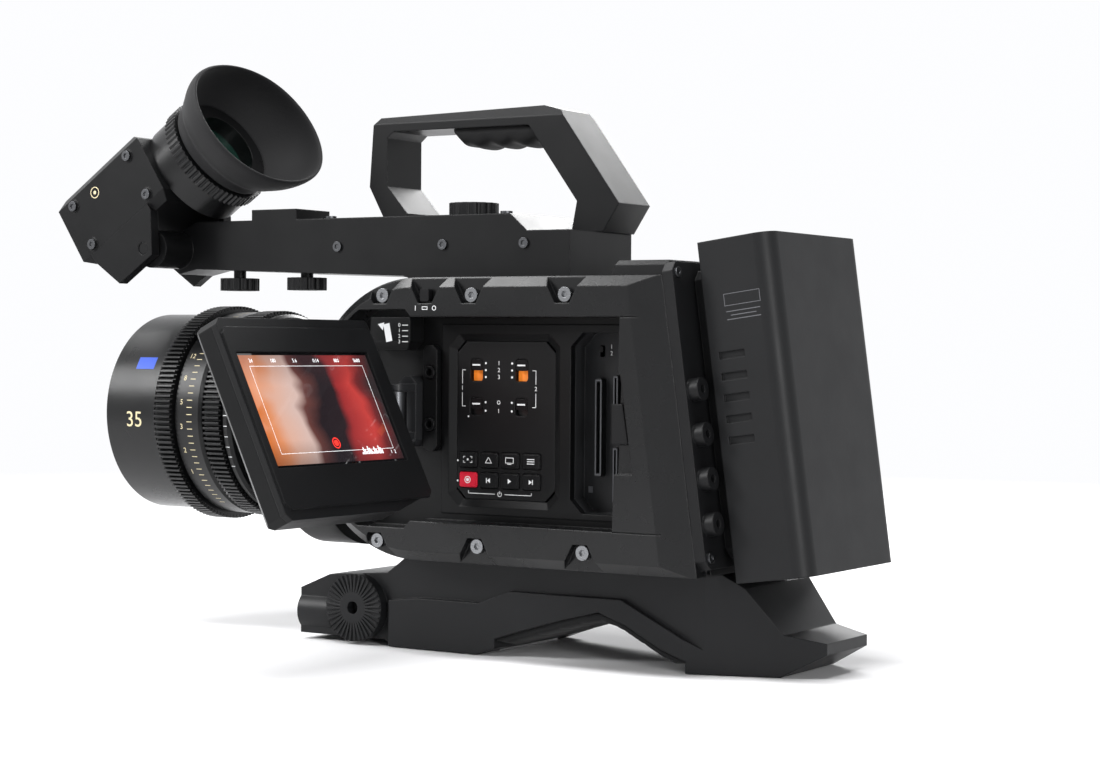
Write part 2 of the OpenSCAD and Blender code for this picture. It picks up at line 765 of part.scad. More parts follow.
module hinge_block()
    color("#232528") {
        intersection() {
            slab(-frame_face - block_stand, gutter - frame_face)
                polygon([[step_x - step_w - block_w, recess_top], [step_x - step_w, recess_top],
                    [step_x - step_w, recess_top - block_h + block_slant],
                    [step_x - step_w - block_slant, recess_top - block_h],
                    [step_x - step_w - block_w, recess_top - block_h]]);
            along_x(-front_reach, rear_foot)
                polygon([[gutter - frame_face, recess_top], [gutter - frame_face, recess_top - block_h],
                    [block_slant - frame_face - block_stand, recess_top - block_h],
                    [-frame_face - block_stand, recess_top - block_h + block_slant],
                    [-frame_face - block_stand, recess_top]]);
        }
        difference() {
            translate([strip_x, 0, strip_mid]) slab(-frame_face - strip_stand, gutter - frame_face)
                cut_rect(strip_width, strip_h, block_slant / 2);
            for (z = [-0.5, 0.5]) translate([strip_x, 0, strip_mid + z * jack_pitch])
                rod_y(-frame_face - strip_stand - over, gutter - frame_face + over, jack_r + seam);
        }
        for (z = [-0.5, 0.5]) translate([strip_x, 0, strip_mid + z * jack_pitch]) difference() {
            rod_y(-frame_face - strip_stand - jack_stand, gutter - frame_face, jack_r);
            rod_y(-frame_face - strip_stand - jack_stand - over, gutter - frame_face - seam, jack_bore_r);
        }
    }

// Monitor: a bracket with two lugs and a pin, an arm that swings on it, and a case that tilts on the arm
lug_t = 3;
lug_r = swing_barrel_d / 2;
bracket_w = 9.6;
tilt_up = 0.4;
barrel_under = 5.9;
bracket_t = 8;
bracket_over = 4;
swing_y = -side_half - swing_out;
tilt_z = panel_mid_z + tilt_up;
barrel_low = tilt_z - barrel_under;
barrel_high = barrel_low + swing_barrel_h;

module monitor_bracket()
    color("#2c2f33") {
        slab(-frame_face - bracket_t, gutter - frame_face)
            translate([swing_x, (barrel_low + barrel_high) / 2])
                cut_rect(bracket_w, swing_barrel_h + 2 * lug_t + 2 * bracket_over, lug_t);
        for (z = [barrel_low - lug_t - move_gap, barrel_high + move_gap]) along_z(z, z + lug_t) {
            translate([swing_x, swing_y]) circle(r = lug_r);
            translate([swing_x - lug_r, swing_y])
                square([2 * lug_r, -frame_face - bracket_t - swing_y]);
        }
        translate([swing_x, swing_y, barrel_low - lug_t])
            cylinder(h = swing_barrel_h + 2 * lug_t, d = swing_pin_d);
    }

module monitor_arm()
    color("#3b3e42") difference() {
        union() {
            translate([swing_x, swing_y, barrel_low]) cylinder(h = swing_barrel_h, d = swing_barrel_d);
            translate([swing_x, 0, tilt_z]) rod_y(hinge_edge - tilt_depth, swing_y, tilt_shaft_d / 2);
        }
        translate([swing_x, swing_y, barrel_low - over])
            cylinder(h = swing_barrel_h + 2 * over, d = swing_pin_d + 2 * run_fit);
    }
hinge_edge = swing_y - swing_barrel_d / 2 - move_gap;
tilt_depth = 10;

// The monitor's own frame: x is out of the picture, z is up along the picture, tilted about the tilt shaft
face_out = 7.5;
back_in = face_out - monitor_t;
bezel_t = 4;
case_bevel = 3;
corner_w = 28;
corner_h = 7;
glass_recess = 0.8;
monitor_mid_y = hinge_edge - monitor_w / 2;
picture_shift = -2.5;
picture_z = monitor_h / 2 - picture_drop - picture_h / 2;
glass_margin = 1.2;

module on_monitor() translate([swing_x, 0, tilt_z]) rotate([0, -monitor_tilt, 0]) children();

module monitor_outline()
    translate([monitor_mid_y, 0])
        polygon([[-monitor_w / 2, case_bevel - monitor_h / 2], [case_bevel - monitor_w / 2, -monitor_h / 2],
            [monitor_w / 2 - corner_w, -monitor_h / 2], [monitor_w / 2, corner_h - monitor_h / 2],
            [monitor_w / 2, monitor_h / 2 - case_bevel / 2], [monitor_w / 2 - case_bevel / 2, monitor_h / 2],
            [case_bevel - monitor_w / 2, monitor_h / 2], [-monitor_w / 2, monitor_h / 2 - case_bevel]]);

module monitor_window(margin)
    translate([monitor_mid_y + picture_shift, picture_z])
        square([picture_w + 2 * margin, picture_h + 2 * margin], center = true);

module case_section(half)
    polygon([[back_in, case_bevel - half], [back_in + case_bevel, -half], [face_out, -half],
        [face_out, half], [back_in + case_bevel, half], [back_in, half - case_bevel]]);

module monitor_case()
    color("#1b1c1e") on_monitor() difference() {
        intersection() {
            along_x(back_in, face_out - bezel_t) monitor_outline();
            translate([0, monitor_mid_y, 0]) slab(-monitor_w / 2, monitor_w / 2)
                case_section(monitor_h / 2);
            translate([0, monitor_mid_y, 0]) along_z(-monitor_h / 2, monitor_h / 2)
                case_section(monitor_w / 2);
        }
        rod_y(hinge_edge - tilt_depth - move_gap, hinge_edge + over, tilt_shaft_d / 2 + run_fit);
    }

module monitor_bezel()
    color("#141516") on_monitor() difference() {
        union() {
            along_x(face_out - bezel_t, face_out - bezel_edge) monitor_outline();
            along_x(face_out - bezel_edge, face_out) translate([monitor_mid_y, 0])
                cut_rect(monitor_w - 2 * bezel_edge, monitor_h - 2 * bezel_edge - corner_h, case_bevel);
        }
        along_x(face_out - bezel_t - over, face_out + over) monitor_window(glass_margin);
    }
bezel_edge = 1;

module monitor_panel()
    color("#30343a") on_monitor()
        along_x(face_out - bezel_t, face_out - glass_recess) monitor_window(glass_margin - seam);

// Filter housing in front of the body, with the mount tube
nd_front = -front_reach - nd_depth;
flange_x = nd_front - mount_len;
nd_angle = 42.7;
wheel_y = -filter_orbit * cos(nd_angle);
wheel_z = axis_z - filter_orbit * sin(nd_angle);
housing_wall = 3;
wheel_gap = 1;
wheel_poke = 4;
nd_wheel_share = 0.35;
wheel_x = nd_front + nd_depth * nd_wheel_share;
knurl_count = 90;
hub_bore_r = 2.5;
lock_groove = 9;

module housing_outline() {
    translate([wheel_y, wheel_z]) circle(r = wheel_r + housing_wall);
    translate([0, axis_z]) circle(r = wheel_r + housing_wall / 3);
    polygon([for (p = [[0, 1], [1, 1], [1, -1], [0, -1]]) [p[0] * wheel_y, axis_z + p[0] * (wheel_z - axis_z)]
        + p[1] * (wheel_r + housing_wall / (p[0] == 1 ? 1 : 3)) * [-sin(nd_angle), cos(nd_angle)]]);
}

module nd_housing()
    color("#1d1f21") difference() {
        union() {
            intersection() {
                along_x(nd_front, -front_reach) housing_outline();
                along_x(nd_front, -front_reach)
                    translate([wheel_y - wheel_r + wheel_poke, 0]) square([reach, reach]);
            }
            translate([0, 0, axis_z]) rod_x(flange_x, nd_front, mount_r);
        }
        translate([0, 0, axis_z]) rod_x(flange_x - over, over - front_reach, throat_r);
        translate([0, wheel_y, wheel_z]) difference() {
            rod_x(wheel_x - wheel_gap, wheel_x + wheel_t + wheel_gap, wheel_r + wheel_gap);
            rod_x(wheel_x - wheel_gap, wheel_x + wheel_t + wheel_gap, hub_bore_r);
        }
    }

// Filter wheel: four holes, three with a filter glass, and a knurled rim that the thumb reaches
module nd_filter_wheel()
    color("#34373a") translate([0, wheel_y, wheel_z]) {
        difference() {
            along_x(wheel_x, wheel_x + wheel_t) polygon(gear_points(wheel_r, knurl_count, knurl_depth));
            for (i = [0:3]) rotate([i * 90 + nd_angle - 90, 0, 0]) translate([0, 0, filter_orbit]) {
                rod_x(wheel_x - over, wheel_x + (i == 0 ? wheel_t : wheel_t / 2 - filter_t / 2), filter_r);
                rod_x(wheel_x + wheel_t / 2 + filter_t / 2, wheel_x + wheel_t + over, filter_r);
            }
            rod_x(wheel_x - over, wheel_x + wheel_t + over, hub_bore_r + run_fit);
        }
    }
knurl_depth = 0.8;
filter_t = 2;

// Lens
lens_front_x = flange_x - lens_len;
focus_x = lens_front_x + lens_front_len;
ring_gap = 2;
iris_x = focus_x + focus_len + ring_gap;
focus_tip = gear_module * (focus_teeth / 2 + 1);
iris_tip = gear_module * (iris_teeth / 2 + 1);
gear_face = 10;
tooth_depth = 2.25 * gear_module;

function gear_points(tip, teeth, depth) = [for (i = [0:teeth - 1], s = tooth_shares)
    (tip - depth * (1 - s[1])) * [cos((i + s[0]) * 360 / teeth), sin((i + s[0]) * 360 / teeth)]];

module on_axis() translate([0, 0, axis_z]) children();

front_bore = 44;
front_bore_depth = 9;
glass_r = 33;
cone_depth = 8;
front_edge = 1.5;
rear_tube_r = 25;
rear_tube_len = 12;
flange_r = 33;
flange_t = 3;

module lens_barrel()
    color("#17181a") on_axis() difference() {
        rotate([0, 90, 0]) rotate_extrude()
            polygon([[0, focus_x], [0, lens_front_x], [lens_front_r - front_edge, lens_front_x],
                [lens_front_r, lens_front_x + front_edge], [lens_front_r, focus_x - move_gap],
                [lens_tube_r, focus_x - move_gap], [lens_tube_r, iris_x + iris_len + move_gap],
                [lens_tube_r + ring_gap, iris_x + iris_len + move_gap],
                [lens_tube_r + ring_gap, flange_x - lens_taper],
                [flange_r, flange_x - flange_t], [flange_r, flange_x], [rear_tube_r, flange_x],
                [rear_tube_r, flange_x + rear_tube_len], [0, flange_x + rear_tube_len]]);
        rod_x(lens_front_x - over, lens_front_x + front_bore_depth, front_bore);
        translate([lens_front_x + front_bore_depth, 0, 0]) rotate([0, 90, 0])
            cylinder(h = cone_depth, r1 = front_bore - front_edge, r2 = glass_r + seam);
        rod_x(lens_front_x, glass_x + glass_t, glass_r + seam);
        rod_x(lens_front_x, flange_x + rear_tube_len + over, rear_tube_r - ring_gap);
    }
lens_taper = 7;

module ring_blank(x0, x1, r) rotate([0, 90, 0]) rotate_extrude()
    polygon([[lens_tube_r + run_fit, x0], [r - front_edge, x0], [r, x0 + front_edge], [r, x1 - front_edge],
        [r - front_edge, x1], [lens_tube_r + run_fit, x1]]);

module gear_band(x0, tip, teeth)
    translate([x0, 0, 0]) rotate([90, 0, 90]) difference() {
        linear_extrude(gear_face) polygon(gear_points(tip, teeth, tooth_depth));
        translate([0, 0, -over]) cylinder(h = gear_face + 2 * over, r = lens_tube_r + run_fit);
    }

module lens_focus_ring()
    color("#1f2022") on_axis() {
        ring_blank(focus_x, focus_x + gear_start, focus_r);
        gear_band(focus_x + gear_start, focus_tip, focus_teeth);
        ring_blank(focus_x + gear_start + gear_face, focus_x + focus_len, focus_r);
    }
gear_start = 3;

module lens_iris_ring()
    color("#1f2022") on_axis() {
        gear_band(iris_x, iris_tip, iris_teeth);
        ring_blank(iris_x + gear_face, iris_x + iris_len, iris_tip - tooth_depth);
    }

dome_rise = 5;
glass_t = 7;
module lens_glass()
    color("#5a6b86") on_axis() {
        intersection() {
            rod_x(glass_x - dome_rise, glass_x + glass_t, glass_r);
            translate([glass_x - dome_rise + ball_r, 0, 0]) sphere(r = ball_r, $fn = 96);
        }
        rod_x(flange_x - glass_t, flange_x, rear_tube_r - ring_gap);
    }
glass_x = lens_front_x + front_bore_depth + cone_depth + glass_t / 2;
ball_r = (glass_r * glass_r + dome_rise * dome_rise) / (2 * dome_rise);

// Breech ring that locks the lens to the mount, with four finger lobes
lobe_r = 6;
lobe_count = 4;
module lens_lock_ring()
    color("#5c6064") on_axis() difference() {
        union() {
            rod_x(lock_x, lock_x + lock_groove, lock_r - front_edge);
            for (i = [0:lobe_count - 1]) rotate([(i + 0.5) * 360 / lobe_count, 0, 0])
                translate([0, 0, lock_r - lobe_r]) rod_x(lock_x, lock_x + lock_groove, lobe_r + front_edge);
        }
        rod_x(lock_x - over, lock_x + lock_groove + over, mount_r + run_fit);
    }
lock_x = flange_x + front_edge;

// Image sensor on its board, held by four posts behind the front wall
sensor_w = 25.3;
post_in = 5;
sensor_h = 14.3;
sensor_t = 2;
sensor_board_w = 60;
sensor_board_h = 48;
sensor_face = -front_reach + body_wall + sensor_gap;

module image_sensor()
    color("#3f6f9a") on_axis() {
        along_x(sensor_face - sensor_t, sensor_face) square([sensor_w, sensor_h], center = true);
        along_x(sensor_face, sensor_face + board_t) square([sensor_board_w, sensor_board_h], center = true);
        for (y = [-1, 1], z = [-1, 1])
            translate([0, y * (sensor_board_w / 2 - post_in), z * (sensor_board_h / 2 - post_in)])
                rod_x(body_wall - front_reach, sensor_face, sensor_post_r);
    }

// Main board on the far wall, with a finned heat sink and the ring that holds the fan
main_board_l = 118;
board_room = 15.75;
main_board_h = body_height - 2 * board_room;
board_stand = 20;
fin_count = 8;
fin_t = 2;
fin_len = 30;
fin_pitch = 7;
fan_ring_r = 32;
fan_r = 29;
fan_t = 10;
fan_ring_t = 2;
fan_shaft_r = 2;
fan_hub_r = 10;
fan_x = vent_x;
spoke_t = 3;
main_board_y = inner_half - board_stand;

module main_board()
    color("#1d4d35") {
        translate([fan_x, 0, panel_mid_z]) {
            slab(main_board_y - board_t, main_board_y) square([main_board_l, main_board_h], center = true);
            for (x = [-1, 1], z = [-1, 1])
                translate([x * (main_board_l / 2 - board_margin), 0, z * (main_board_h / 2 - board_margin)])
                    rod_y(main_board_y, inner_half, sensor_post_r);
            difference() {
                union() {
                    rod_y(inner_half - fan_t - move_gap, inner_half, fan_ring_r);
                    for (a = [45, 135, 225, 315]) rotate([0, a, 0]) translate([fan_ring_r, 0, 0])
                        rod_y(main_board_y, inner_half - fan_t / 2, 2 * fan_ring_t);
                }
                rod_y(main_board_y + over, inner_half + over, fan_ring_r - fan_ring_t);
            }
            rod_y(main_board_y, inner_half - move_gap - spoke_t, fan_shaft_r);
            for (i = [0:fin_count - 1]) translate([(i - (fin_count - 1) / 2) * fin_pitch, 0, 0])
                slab(main_board_y, inner_half - fan_t - 2 * move_gap) square([fin_t, fin_len], center = true);
        }
    }

blade_count = 9;
blade_pitch = 35;
blade_t = 1.2;
blade_w = 7;
module fan_rotor()
    color("#141516") translate([fan_x, inner_half - fan_t / 2 - move_gap / 2, panel_mid_z]) difference() {
        union() {
            rod_y(spoke_t - fan_t / 2, fan_t / 2 - spoke_t / 2, fan_hub_r);
            for (i = [0:blade_count - 1]) rotate([0, i * 360 / blade_count, 0])
                translate([(fan_hub_r + fan_r) / 2 - over, 0, 0]) rotate([blade_pitch, 0, 0])
                    cube([fan_r - fan_hub_r, blade_t, blade_w], center = true);
        }
        rod_y(-fan_t, fan_t, fan_shaft_r + run_fit);
    }

// Handle base: a long bar with the hub that the viewfinder tilts on, and the foot of the handle
bar_near = 40;
bar_far = 14;
hub_x = -158;
hub_drop = 13.75;
nose_r = 9.2;
hub_half = 23.7;
finder_y = -36;
bar_step = 14;
bar_low = body_top;
bar_high = bar_low + handle_base_h;
hub_z = bar_high - hub_drop;
bar_front = hub_x;
handle_rise_share = 0.73;
foot_drop_share = 0.16;
bar_shares = [[0, 0.12], [0.05, 0.2], [0.6, 0.05], [0.62, 0], [1, 0]];
bar_top_shares = [[0.86, 1], [0.8, 1], [0.05, 1], [0, 0.82]];
bar_len = 226;
rear_seat_share = 0.9;
rear_foot_z = bar_high - foot_drop_share * handle_h * handle_rise_share;
lift_plate_w = 27;
lift_plate_h = 5;
lift_plate_x = 46;
knob_stem_r = 3;
knob_neck = 5;
front_knob_x = -129;
rear_knob_x = -87.5;
top_knob_x = 3.5;
stub_len = 6;
knob_bore_share = 0.6;
knob_tuck = 1.5;

module bar_profile()
    polygon(concat(placed(bar_shares, bar_front, bar_low, bar_len, handle_base_h),
        [[bar_front + bar_len, rear_foot_z], [bar_front + bar_len * rear_seat_share, rear_foot_z]],
        placed(bar_top_shares, bar_front, bar_low, bar_len, handle_base_h)));

module handle_base()
    color("#232528") difference() {
        union() {
            slab(-bar_near, -bar_step) bar_profile();
            slab(-bar_step, bar_far) intersection() {
                bar_profile();
                translate([hub_x + lift_plate_x, bar_low]) square([bar_len, handle_h]);
            }
            slab(-bar_near, -bar_step) translate([hub_x + lift_plate_x, bar_high])
                square([lift_plate_w, lift_plate_h]);
            translate([hub_x, finder_y, hub_z]) rod_y(-hub_half, hub_half, nose_r);
            translate([hub_x, finder_y, hub_z])
                rod_y(-hub_half - stub_len, hub_half + stub_len, finder_pin_d / 2);
        }
        for (x = [front_knob_x, rear_knob_x]) translate([x, finder_y + hub_half / 3, bar_low - over])
            cylinder(h = handle_base_h * knob_bore_share, r = knob_stem_r + run_fit);
        translate([top_knob_x, -bar_near / 2, bar_high - handle_base_h / 2])
            cylinder(h = handle_base_h, r = knob_stem_r + run_fit);
    }

module knob(d, h, stem_up, stem_down)
    union() {
        difference() {
            cylinder(h = h, d = d);
            for (i = [0:grip_flutes - 1]) rotate([0, 0, i * 360 / grip_flutes])
                translate([d / 2 + flute_r / 2, 0, -over]) cylinder(h = h + 2 * over, r = flute_r);
        }
        translate([0, 0, -stem_down]) cylinder(h = h + stem_up + stem_down, r = knob_stem_r);
    }
grip_flutes = 16;
flute_r = 1.4;
bar_knob_h = 6;
top_knob_h = 6;

module bar_knob(x)
    color("#1a1b1d") translate([x, finder_y + hub_half / 3, bar_knob_z])
        knob(bar_knob_d, bar_knob_h, knob_neck + handle_base_h / 4, 0);
bar_knob_z = bar_low - bar_knob_h + knob_tuck;

module handle_knob()
    color("#1a1b1d") translate([top_knob_x, -bar_near / 2, bar_high + seam])
        knob(top_knob_d, top_knob_h, 0, handle_base_h / 3);

// Top handle: a cast loop on the base, with a rubber grip under its bar
handle_x = -60.9;
handle_rise = handle_h * handle_rise_share;
handle_top = bar_high + handle_rise;
grip_in = 2;
handle_shares = [[0.065, 0], [0, 0.33], [0.015, 0.93], [0.04, 1], [0.7, 1.04], [0.77, 0.99], [1, 0.1],
    [0.94, -foot_drop_share], [0.82, -foot_drop_share], [0.84, 0.13], [0.65, 0.86], [0.1, 0.86], [0.075, 0.8],
    [0.075, 0.33], [0.16, 0.06], [0.16, 0]];
grip_shares = [[0.34, 0.86], [0.36, 0.68], [0.702, 0.65], [0.66, 0.81], [0.65, 0.86]];
handle_groove = 3;

module handle_frame()
    color("#1c1d1f") intersection() {
        slab(-handle_half, handle_half)
            polygon(placed(handle_shares, handle_x, bar_high, handle_len, handle_rise));
        along_x(handle_x - over, handle_x + handle_len + over)
            polygon([[-handle_half, 0], [handle_half, 0], [handle_half, handle_top - handle_groove],
                [handle_half - handle_groove, handle_top + handle_groove],
                [handle_groove - handle_half, handle_top + handle_groove],
                [-handle_half, handle_top - handle_groove]]);
    }

module handle_grip()
    color("#0f1011") slab(grip_in - handle_half, handle_half - grip_in)
        polygon(placed(grip_shares, handle_x, bar_high, handle_len, handle_rise));

// Viewfinder in its own frame: x runs up and back along the axis from the middle of the case
cheek_t = 5.5;
cheek_shares = [[-0.4, -0.4], [-0.4, -0.5], [-0.28, -0.98], [0.12, -0.98], [0.3, -0.5], [0.3, -0.4]];
finder_screw_shares = [0.34, 0.3];
finder_clear = 3.1;
barrel_drop = 4;
barrel_len = 12;
case_edge = 4;
diopter_len = 7;
diopter_stand = 1.5;
diopter_r = finder_barrel_r + diopter_stand;
eyecup_wall = 2.5;
finder_glass_r = 16;

module on_finder()
    translate([hub_x, finder_y, hub_z]) rotate([0, -finder_tilt, 0])
        translate([-finder_back, 0, finder_up]) children();
finder_back = 4.6;
finder_up = finder_h / 2 + nose_r + move_gap + finder_clear;

module viewfinder_case()
    color("#1a1b1d") on_finder() {
        intersection() {
            slab(-finder_w / 2, finder_w / 2) cut_rect(finder_len, finder_h, case_edge);
            along_x(-finder_len / 2, finder_len / 2)
                cut_rect(finder_w, finder_h, case_edge);
        }
        for (s = [-1, 1]) difference() {
            translate([0, s * (finder_w - cheek_t) / 2, 0]) slab(-cheek_t / 2, cheek_t / 2)
                polygon(placed(cheek_shares, 0, 0, finder_len, finder_h));
            translate([finder_back, 0, -finder_up]) rod_y(-finder_w, finder_w, finder_pin_d / 2 + run_fit);
        }
        for (x = [-1, 1], z = [-1, 1])
            translate([x * finder_len * finder_screw_shares[0], 0, z * finder_h * finder_screw_shares[1]])
                rod_y(-finder_w / 2 - seam, -finder_w / 2, screw_head_d / 2);
    }

module on_barrel() on_finder() translate([finder_len / 2, 0, -barrel_drop]) children();

module viewfinder_barrel()
    color("#141516") on_barrel() difference() {
        union() {
            rod_x(0, barrel_len, finder_barrel_r);
            rod_x(barrel_len, barrel_len + diopter_len + eyecup_seat, finder_barrel_r - ring_gap * 2);
        }
        rod_x(ring_gap, barrel_len + diopter_len + eyecup_seat + over, finder_glass_r);
    }
eyecup_seat = 6;

module diopter_ring()
    color("#26282b") on_barrel() difference() {
        along_x(barrel_len + move_gap, barrel_len + diopter_len)
            polygon(gear_points(diopter_r, diopter_ribs, knurl_depth));
        rod_x(barrel_len, barrel_len + diopter_len + over, finder_barrel_r - ring_gap * 2 + run_fit);
    }
diopter_ribs = 60;

module eyecup()
    color("#0e0f10") on_barrel() translate([barrel_len + diopter_len + move_gap, 0, 0]) rotate([0, 90, 0])
        rotate_extrude()
            polygon([[finder_barrel_r - 2 * ring_gap, 0], [finder_barrel_r, 0],
                [finder_barrel_r, eyecup_wall], [eyecup_r, eyecup_len - eyecup_wall], [eyecup_r, eyecup_len],
                [eyecup_r - eyecup_wall, eyecup_len], [finder_barrel_r - eyecup_wall, 2 * eyecup_wall],
                [finder_barrel_r - 2 * ring_gap, 2 * eyecup_wall]]);

module viewfinder_lens()
    color("#55607a") on_barrel() rod_x(barrel_len, barrel_len + finder_glass_t, finder_glass_r);
finder_glass_t = 5;

// Rear: the battery plate and the battery follow the rake of the rear edge
plate_half = 57;
plate_low = 3;
plate_over = 6.5;
plate_high = body_height + plate_over;
step_t = 5;
rail_half = 38;
battery_round = 8;
battery_rib = 1.2;
rib_w = 3;
rib_len = 12;
rib_place_share = 0.3;
rib_pitch = 9;
rear_jack_r = 5;
rear_jack_bore = 1.9;
rear_jack_pitch = 19;
jack_rows = 4;
release_w = 8;
release_h = 12;
release_travel = 2;
release_z = 108;
release_stand = 3.5;

rear_side_y = (plate_half + battery_half) / 2;

module on_rear() translate([rear_foot, 0, body_bottom]) rotate([0, -rear_rake, 0]) children();

module battery_plate()
    color("#1b1c1e") on_rear() {
        difference() {
            union() {
                along_x(0, step_t) translate([0, (plate_low + plate_high) / 2])
                    cut_rect(2 * plate_half, plate_high - plate_low, case_edge);
                along_x(step_t, plate_t) translate([0, (plate_low + plate_high) / 2])
                    cut_rect(2 * rail_half, plate_high - plate_low - 2 * case_edge, case_edge);
            }
            translate([0, rear_side_y, release_z]) along_x(-over, step_t + over)
                round_rect(release_w + 2 * move_gap, release_h + 2 * move_gap, release_w / 4);
        }
        for (s = [-1, 1], i = [0:jack_rows - 1])
            translate([0, s * rear_side_y, plate_low + rear_jack_pitch * (i + 1)])
                difference() {
                    rod_x(step_t, step_t + knob_neck, rear_jack_r);
                    rod_x(step_t, step_t + knob_neck + over, rear_jack_bore);
                }
    }

module battery_release()
    color("#3a3d40") on_rear() translate([0, rear_side_y, release_z])
        along_x(seam + release_travel + move_gap / 2, step_t + release_stand)
            round_rect(release_w, release_h, release_w / 4 - move_gap);

module battery_outline()
    translate([plate_t, 0]) {
        translate([0, -battery_half]) square([battery_t - battery_round, 2 * battery_half]);
        translate([0, battery_round - battery_half]) square([battery_t, 2 * (battery_half - battery_round)]);
        for (y = [-1, 1]) translate([battery_t - battery_round, y * (battery_half - battery_round)])
            circle(r = battery_round);
    }

module battery_case()
    color("#212326") on_rear() difference() {
        along_z(-battery_drop, battery_h - battery_drop) battery_outline();
        for (i = [-2:2], s = [-1, 1]) translate([0, 0, battery_h / 2 + i * rib_pitch]) along_z(0, rib_w)
            translate([plate_t + battery_t * rib_place_share, s * battery_half])
                square([rib_len, 2 * battery_rib], center = true);
    }

// Shoulder base: body plate, arched underside with a pad, front block with rosettes and rod bores
base_x = -base_front;
base_top_shares = [[0, 0.56], [0.065, 0.73], [0.19, 0.79], [0.235, 1], [0.84, 1], [0.875, 0.87],
    [0.935, 0.42], [1, 0.35], [1, 0.24]];
// The arch over the shoulder, from the rear foot to the front foot
arch_shares = [[0.93, 0], [0.785, 0], [0.74, 0.11], [0.675, 0.32], [0.623, 0.43], [0.55, 0.32],
    [0.47, 0.18], [0.41, 0.06], [0.385, 0], [0.2, 0]];
nose_shares = [[0.185, 0.06], [0, 0.06]];
flank_top_shares = [[0.26, 0.545], [0.387, 0.545], [0.45, 0.69], [0.665, 0.69], [0.81, 0.25], [0.93, 0.12]];
flank_foot_shares = [[0.2, 0.5]];
pad_shares = [[0.785, 0.12], [0.74, 0.22], [0.675, 0.43], [0.623, 0.545], [0.55, 0.43], [0.47, 0.28],
    [0.42, 0.18]];
pad_start = base_x + base_len * pad_shares[6][0];
pad_end = base_x + base_len * pad_shares[0][0];
pad_t = 4.9;
pad_in = 1;
flank_step = 3;
tripod_plate_l = 46;
tripod_plate_w = 50;
tripod_plate_t = 6;
rosette_x = -48;
rosette_z = 17;
rosette_bore_d = 6;
rosette_tooth = 0.8;
clamp_in = 9;
clamp_x = base_x + clamp_in;
clamp_knob_d = 14;
clamp_knob_t = 8;

module base_profile(shares) polygon(placed(shares, base_x, 0, base_len, base_height));

module pad_zone()
    polygon(concat(placed(pad_shares, base_x, 0, base_len, base_height),
        [[pad_start, -over], [pad_end, -over]]));

module base_shell()
    color("#2a2c2f") {
        difference() {
            intersection() {
                union() {
                    slab(flank_step - base_half, base_half - flank_step)
                        base_profile(concat(base_top_shares, arch_shares, nose_shares));
                    slab(-base_half, base_half)
                        base_profile(concat(flank_top_shares, arch_shares, flank_foot_shares));
                    for (s = [-1, 1]) translate([0, s * rod_pitch / 2, rod_z])
                        rod_x(base_x, base_x + boss_len, base_half - rod_pitch / 2);
                }
                along_z(-over, base_height + over)
                    polygon([[base_x - over, -base_half], [base_tail, -base_half],
                        [base_x + base_len + over, -base_half / 2], [base_x + base_len + over, base_half / 2],
                        [base_tail, base_half], [base_x - over, base_half]]);
            }
            slab(-base_half - over, base_half + over) pad_zone();
            along_z(-over, tripod_plate_t)
                square([tripod_plate_l + 2 * seam, tripod_plate_w + 2 * seam], center = true);
            cylinder(h = base_height / 2, d = tripod_d + 2 * seam);
            for (s = [-1, 1]) translate([0, s * rod_pitch / 2, rod_z])
                rod_x(base_x - over, base_x + rod_depth, rod_d / 2);
            translate([clamp_x, 0, rod_z]) rod_y(rod_pitch / 2, base_half + over, knob_stem_r + run_fit);
        }
        for (s = [0, 1]) mirror([0, s, 0]) translate([rosette_x, flank_step - base_half, rosette_z])
            rotate([90, 0, 0])
                toothed_disc(rosette_d / 2, rosette_stand, rosette_teeth, rosette_tooth, rosette_bore_d / 2);
    }
boss_len = 18.5;
base_tail = 126;
rod_z = 13;
rod_depth = 18;
rosette_stand = 6;

module shoulder_pad()
    color("#101112") slab(pad_in - base_half, base_half - pad_in) intersection() {
        difference() {
            translate([pad_start + seam, 0]) square([pad_end - pad_start - 2 * seam, base_height]);
            polygon(concat(placed(pad_shares, base_x, -pad_t, base_len, base_height),
                [[base_x, -reach], [reach, -reach]]));
        }
        pad_zone();
    }

module tripod_plate()
    color("#7b7f83") difference() {
        along_z(0, tripod_plate_t) square([tripod_plate_l, tripod_plate_w], center = true);
        translate([0, 0, -over]) cylinder(h = tripod_plate_t + 2 * over, d = tripod_d);
        for (x = [-1, 1]) translate([x * tripod_plate_l / 3, 0, -over])
            cylinder(h = tripod_plate_t + 2 * over, d = quarter_d);
    }
quarter_d = 6.35;

module clamp_knob()
    color("#1a1b1d") translate([clamp_x, base_half + seam, rod_z]) rotate([-90, 0, 0])
        knob(clamp_knob_d, clamp_knob_t, 0, base_half - rod_pitch / 2 - rod_d / 2);

chassis();
top_cover();
left_frame();
right_frame();
left_cover();
right_cover();
cover_screws();
control_panel();
control_board();
key(0, 0, "#222427");  // key_focus
key(1, 0, "#222427");  // key_peak
key(2, 0, "#222427");  // key_display
key(3, 0, "#222427");  // key_menu
key(0, 1, "#a3182a");  // key_record
key(1, 1, "#222427");  // key_back
key(2, 1, "#222427");  // key_play
key(3, 1, "#222427");  // key_next
slide_knob(0, 0);  // source_switch_1
slide_knob(1, 0);  // source_switch_2
slide_knob(0, 1);  // feed_switch_1
slide_knob(1, 1);  // feed_switch_2
power_switch();
media_bay();
card_select_switch();
hinge_block();
latch_button();
monitor_bracket();
monitor_arm();
monitor_case();
monitor_bezel();
monitor_panel();
nd_housing();
nd_filter_wheel();
lens_lock_ring();
lens_barrel();
lens_focus_ring();
lens_iris_ring();
lens_glass();
image_sensor();
main_board();
fan_rotor();
handle_base();
handle_frame();
handle_grip();
handle_knob();
viewfinder_case();
viewfinder_barrel();
diopter_ring();
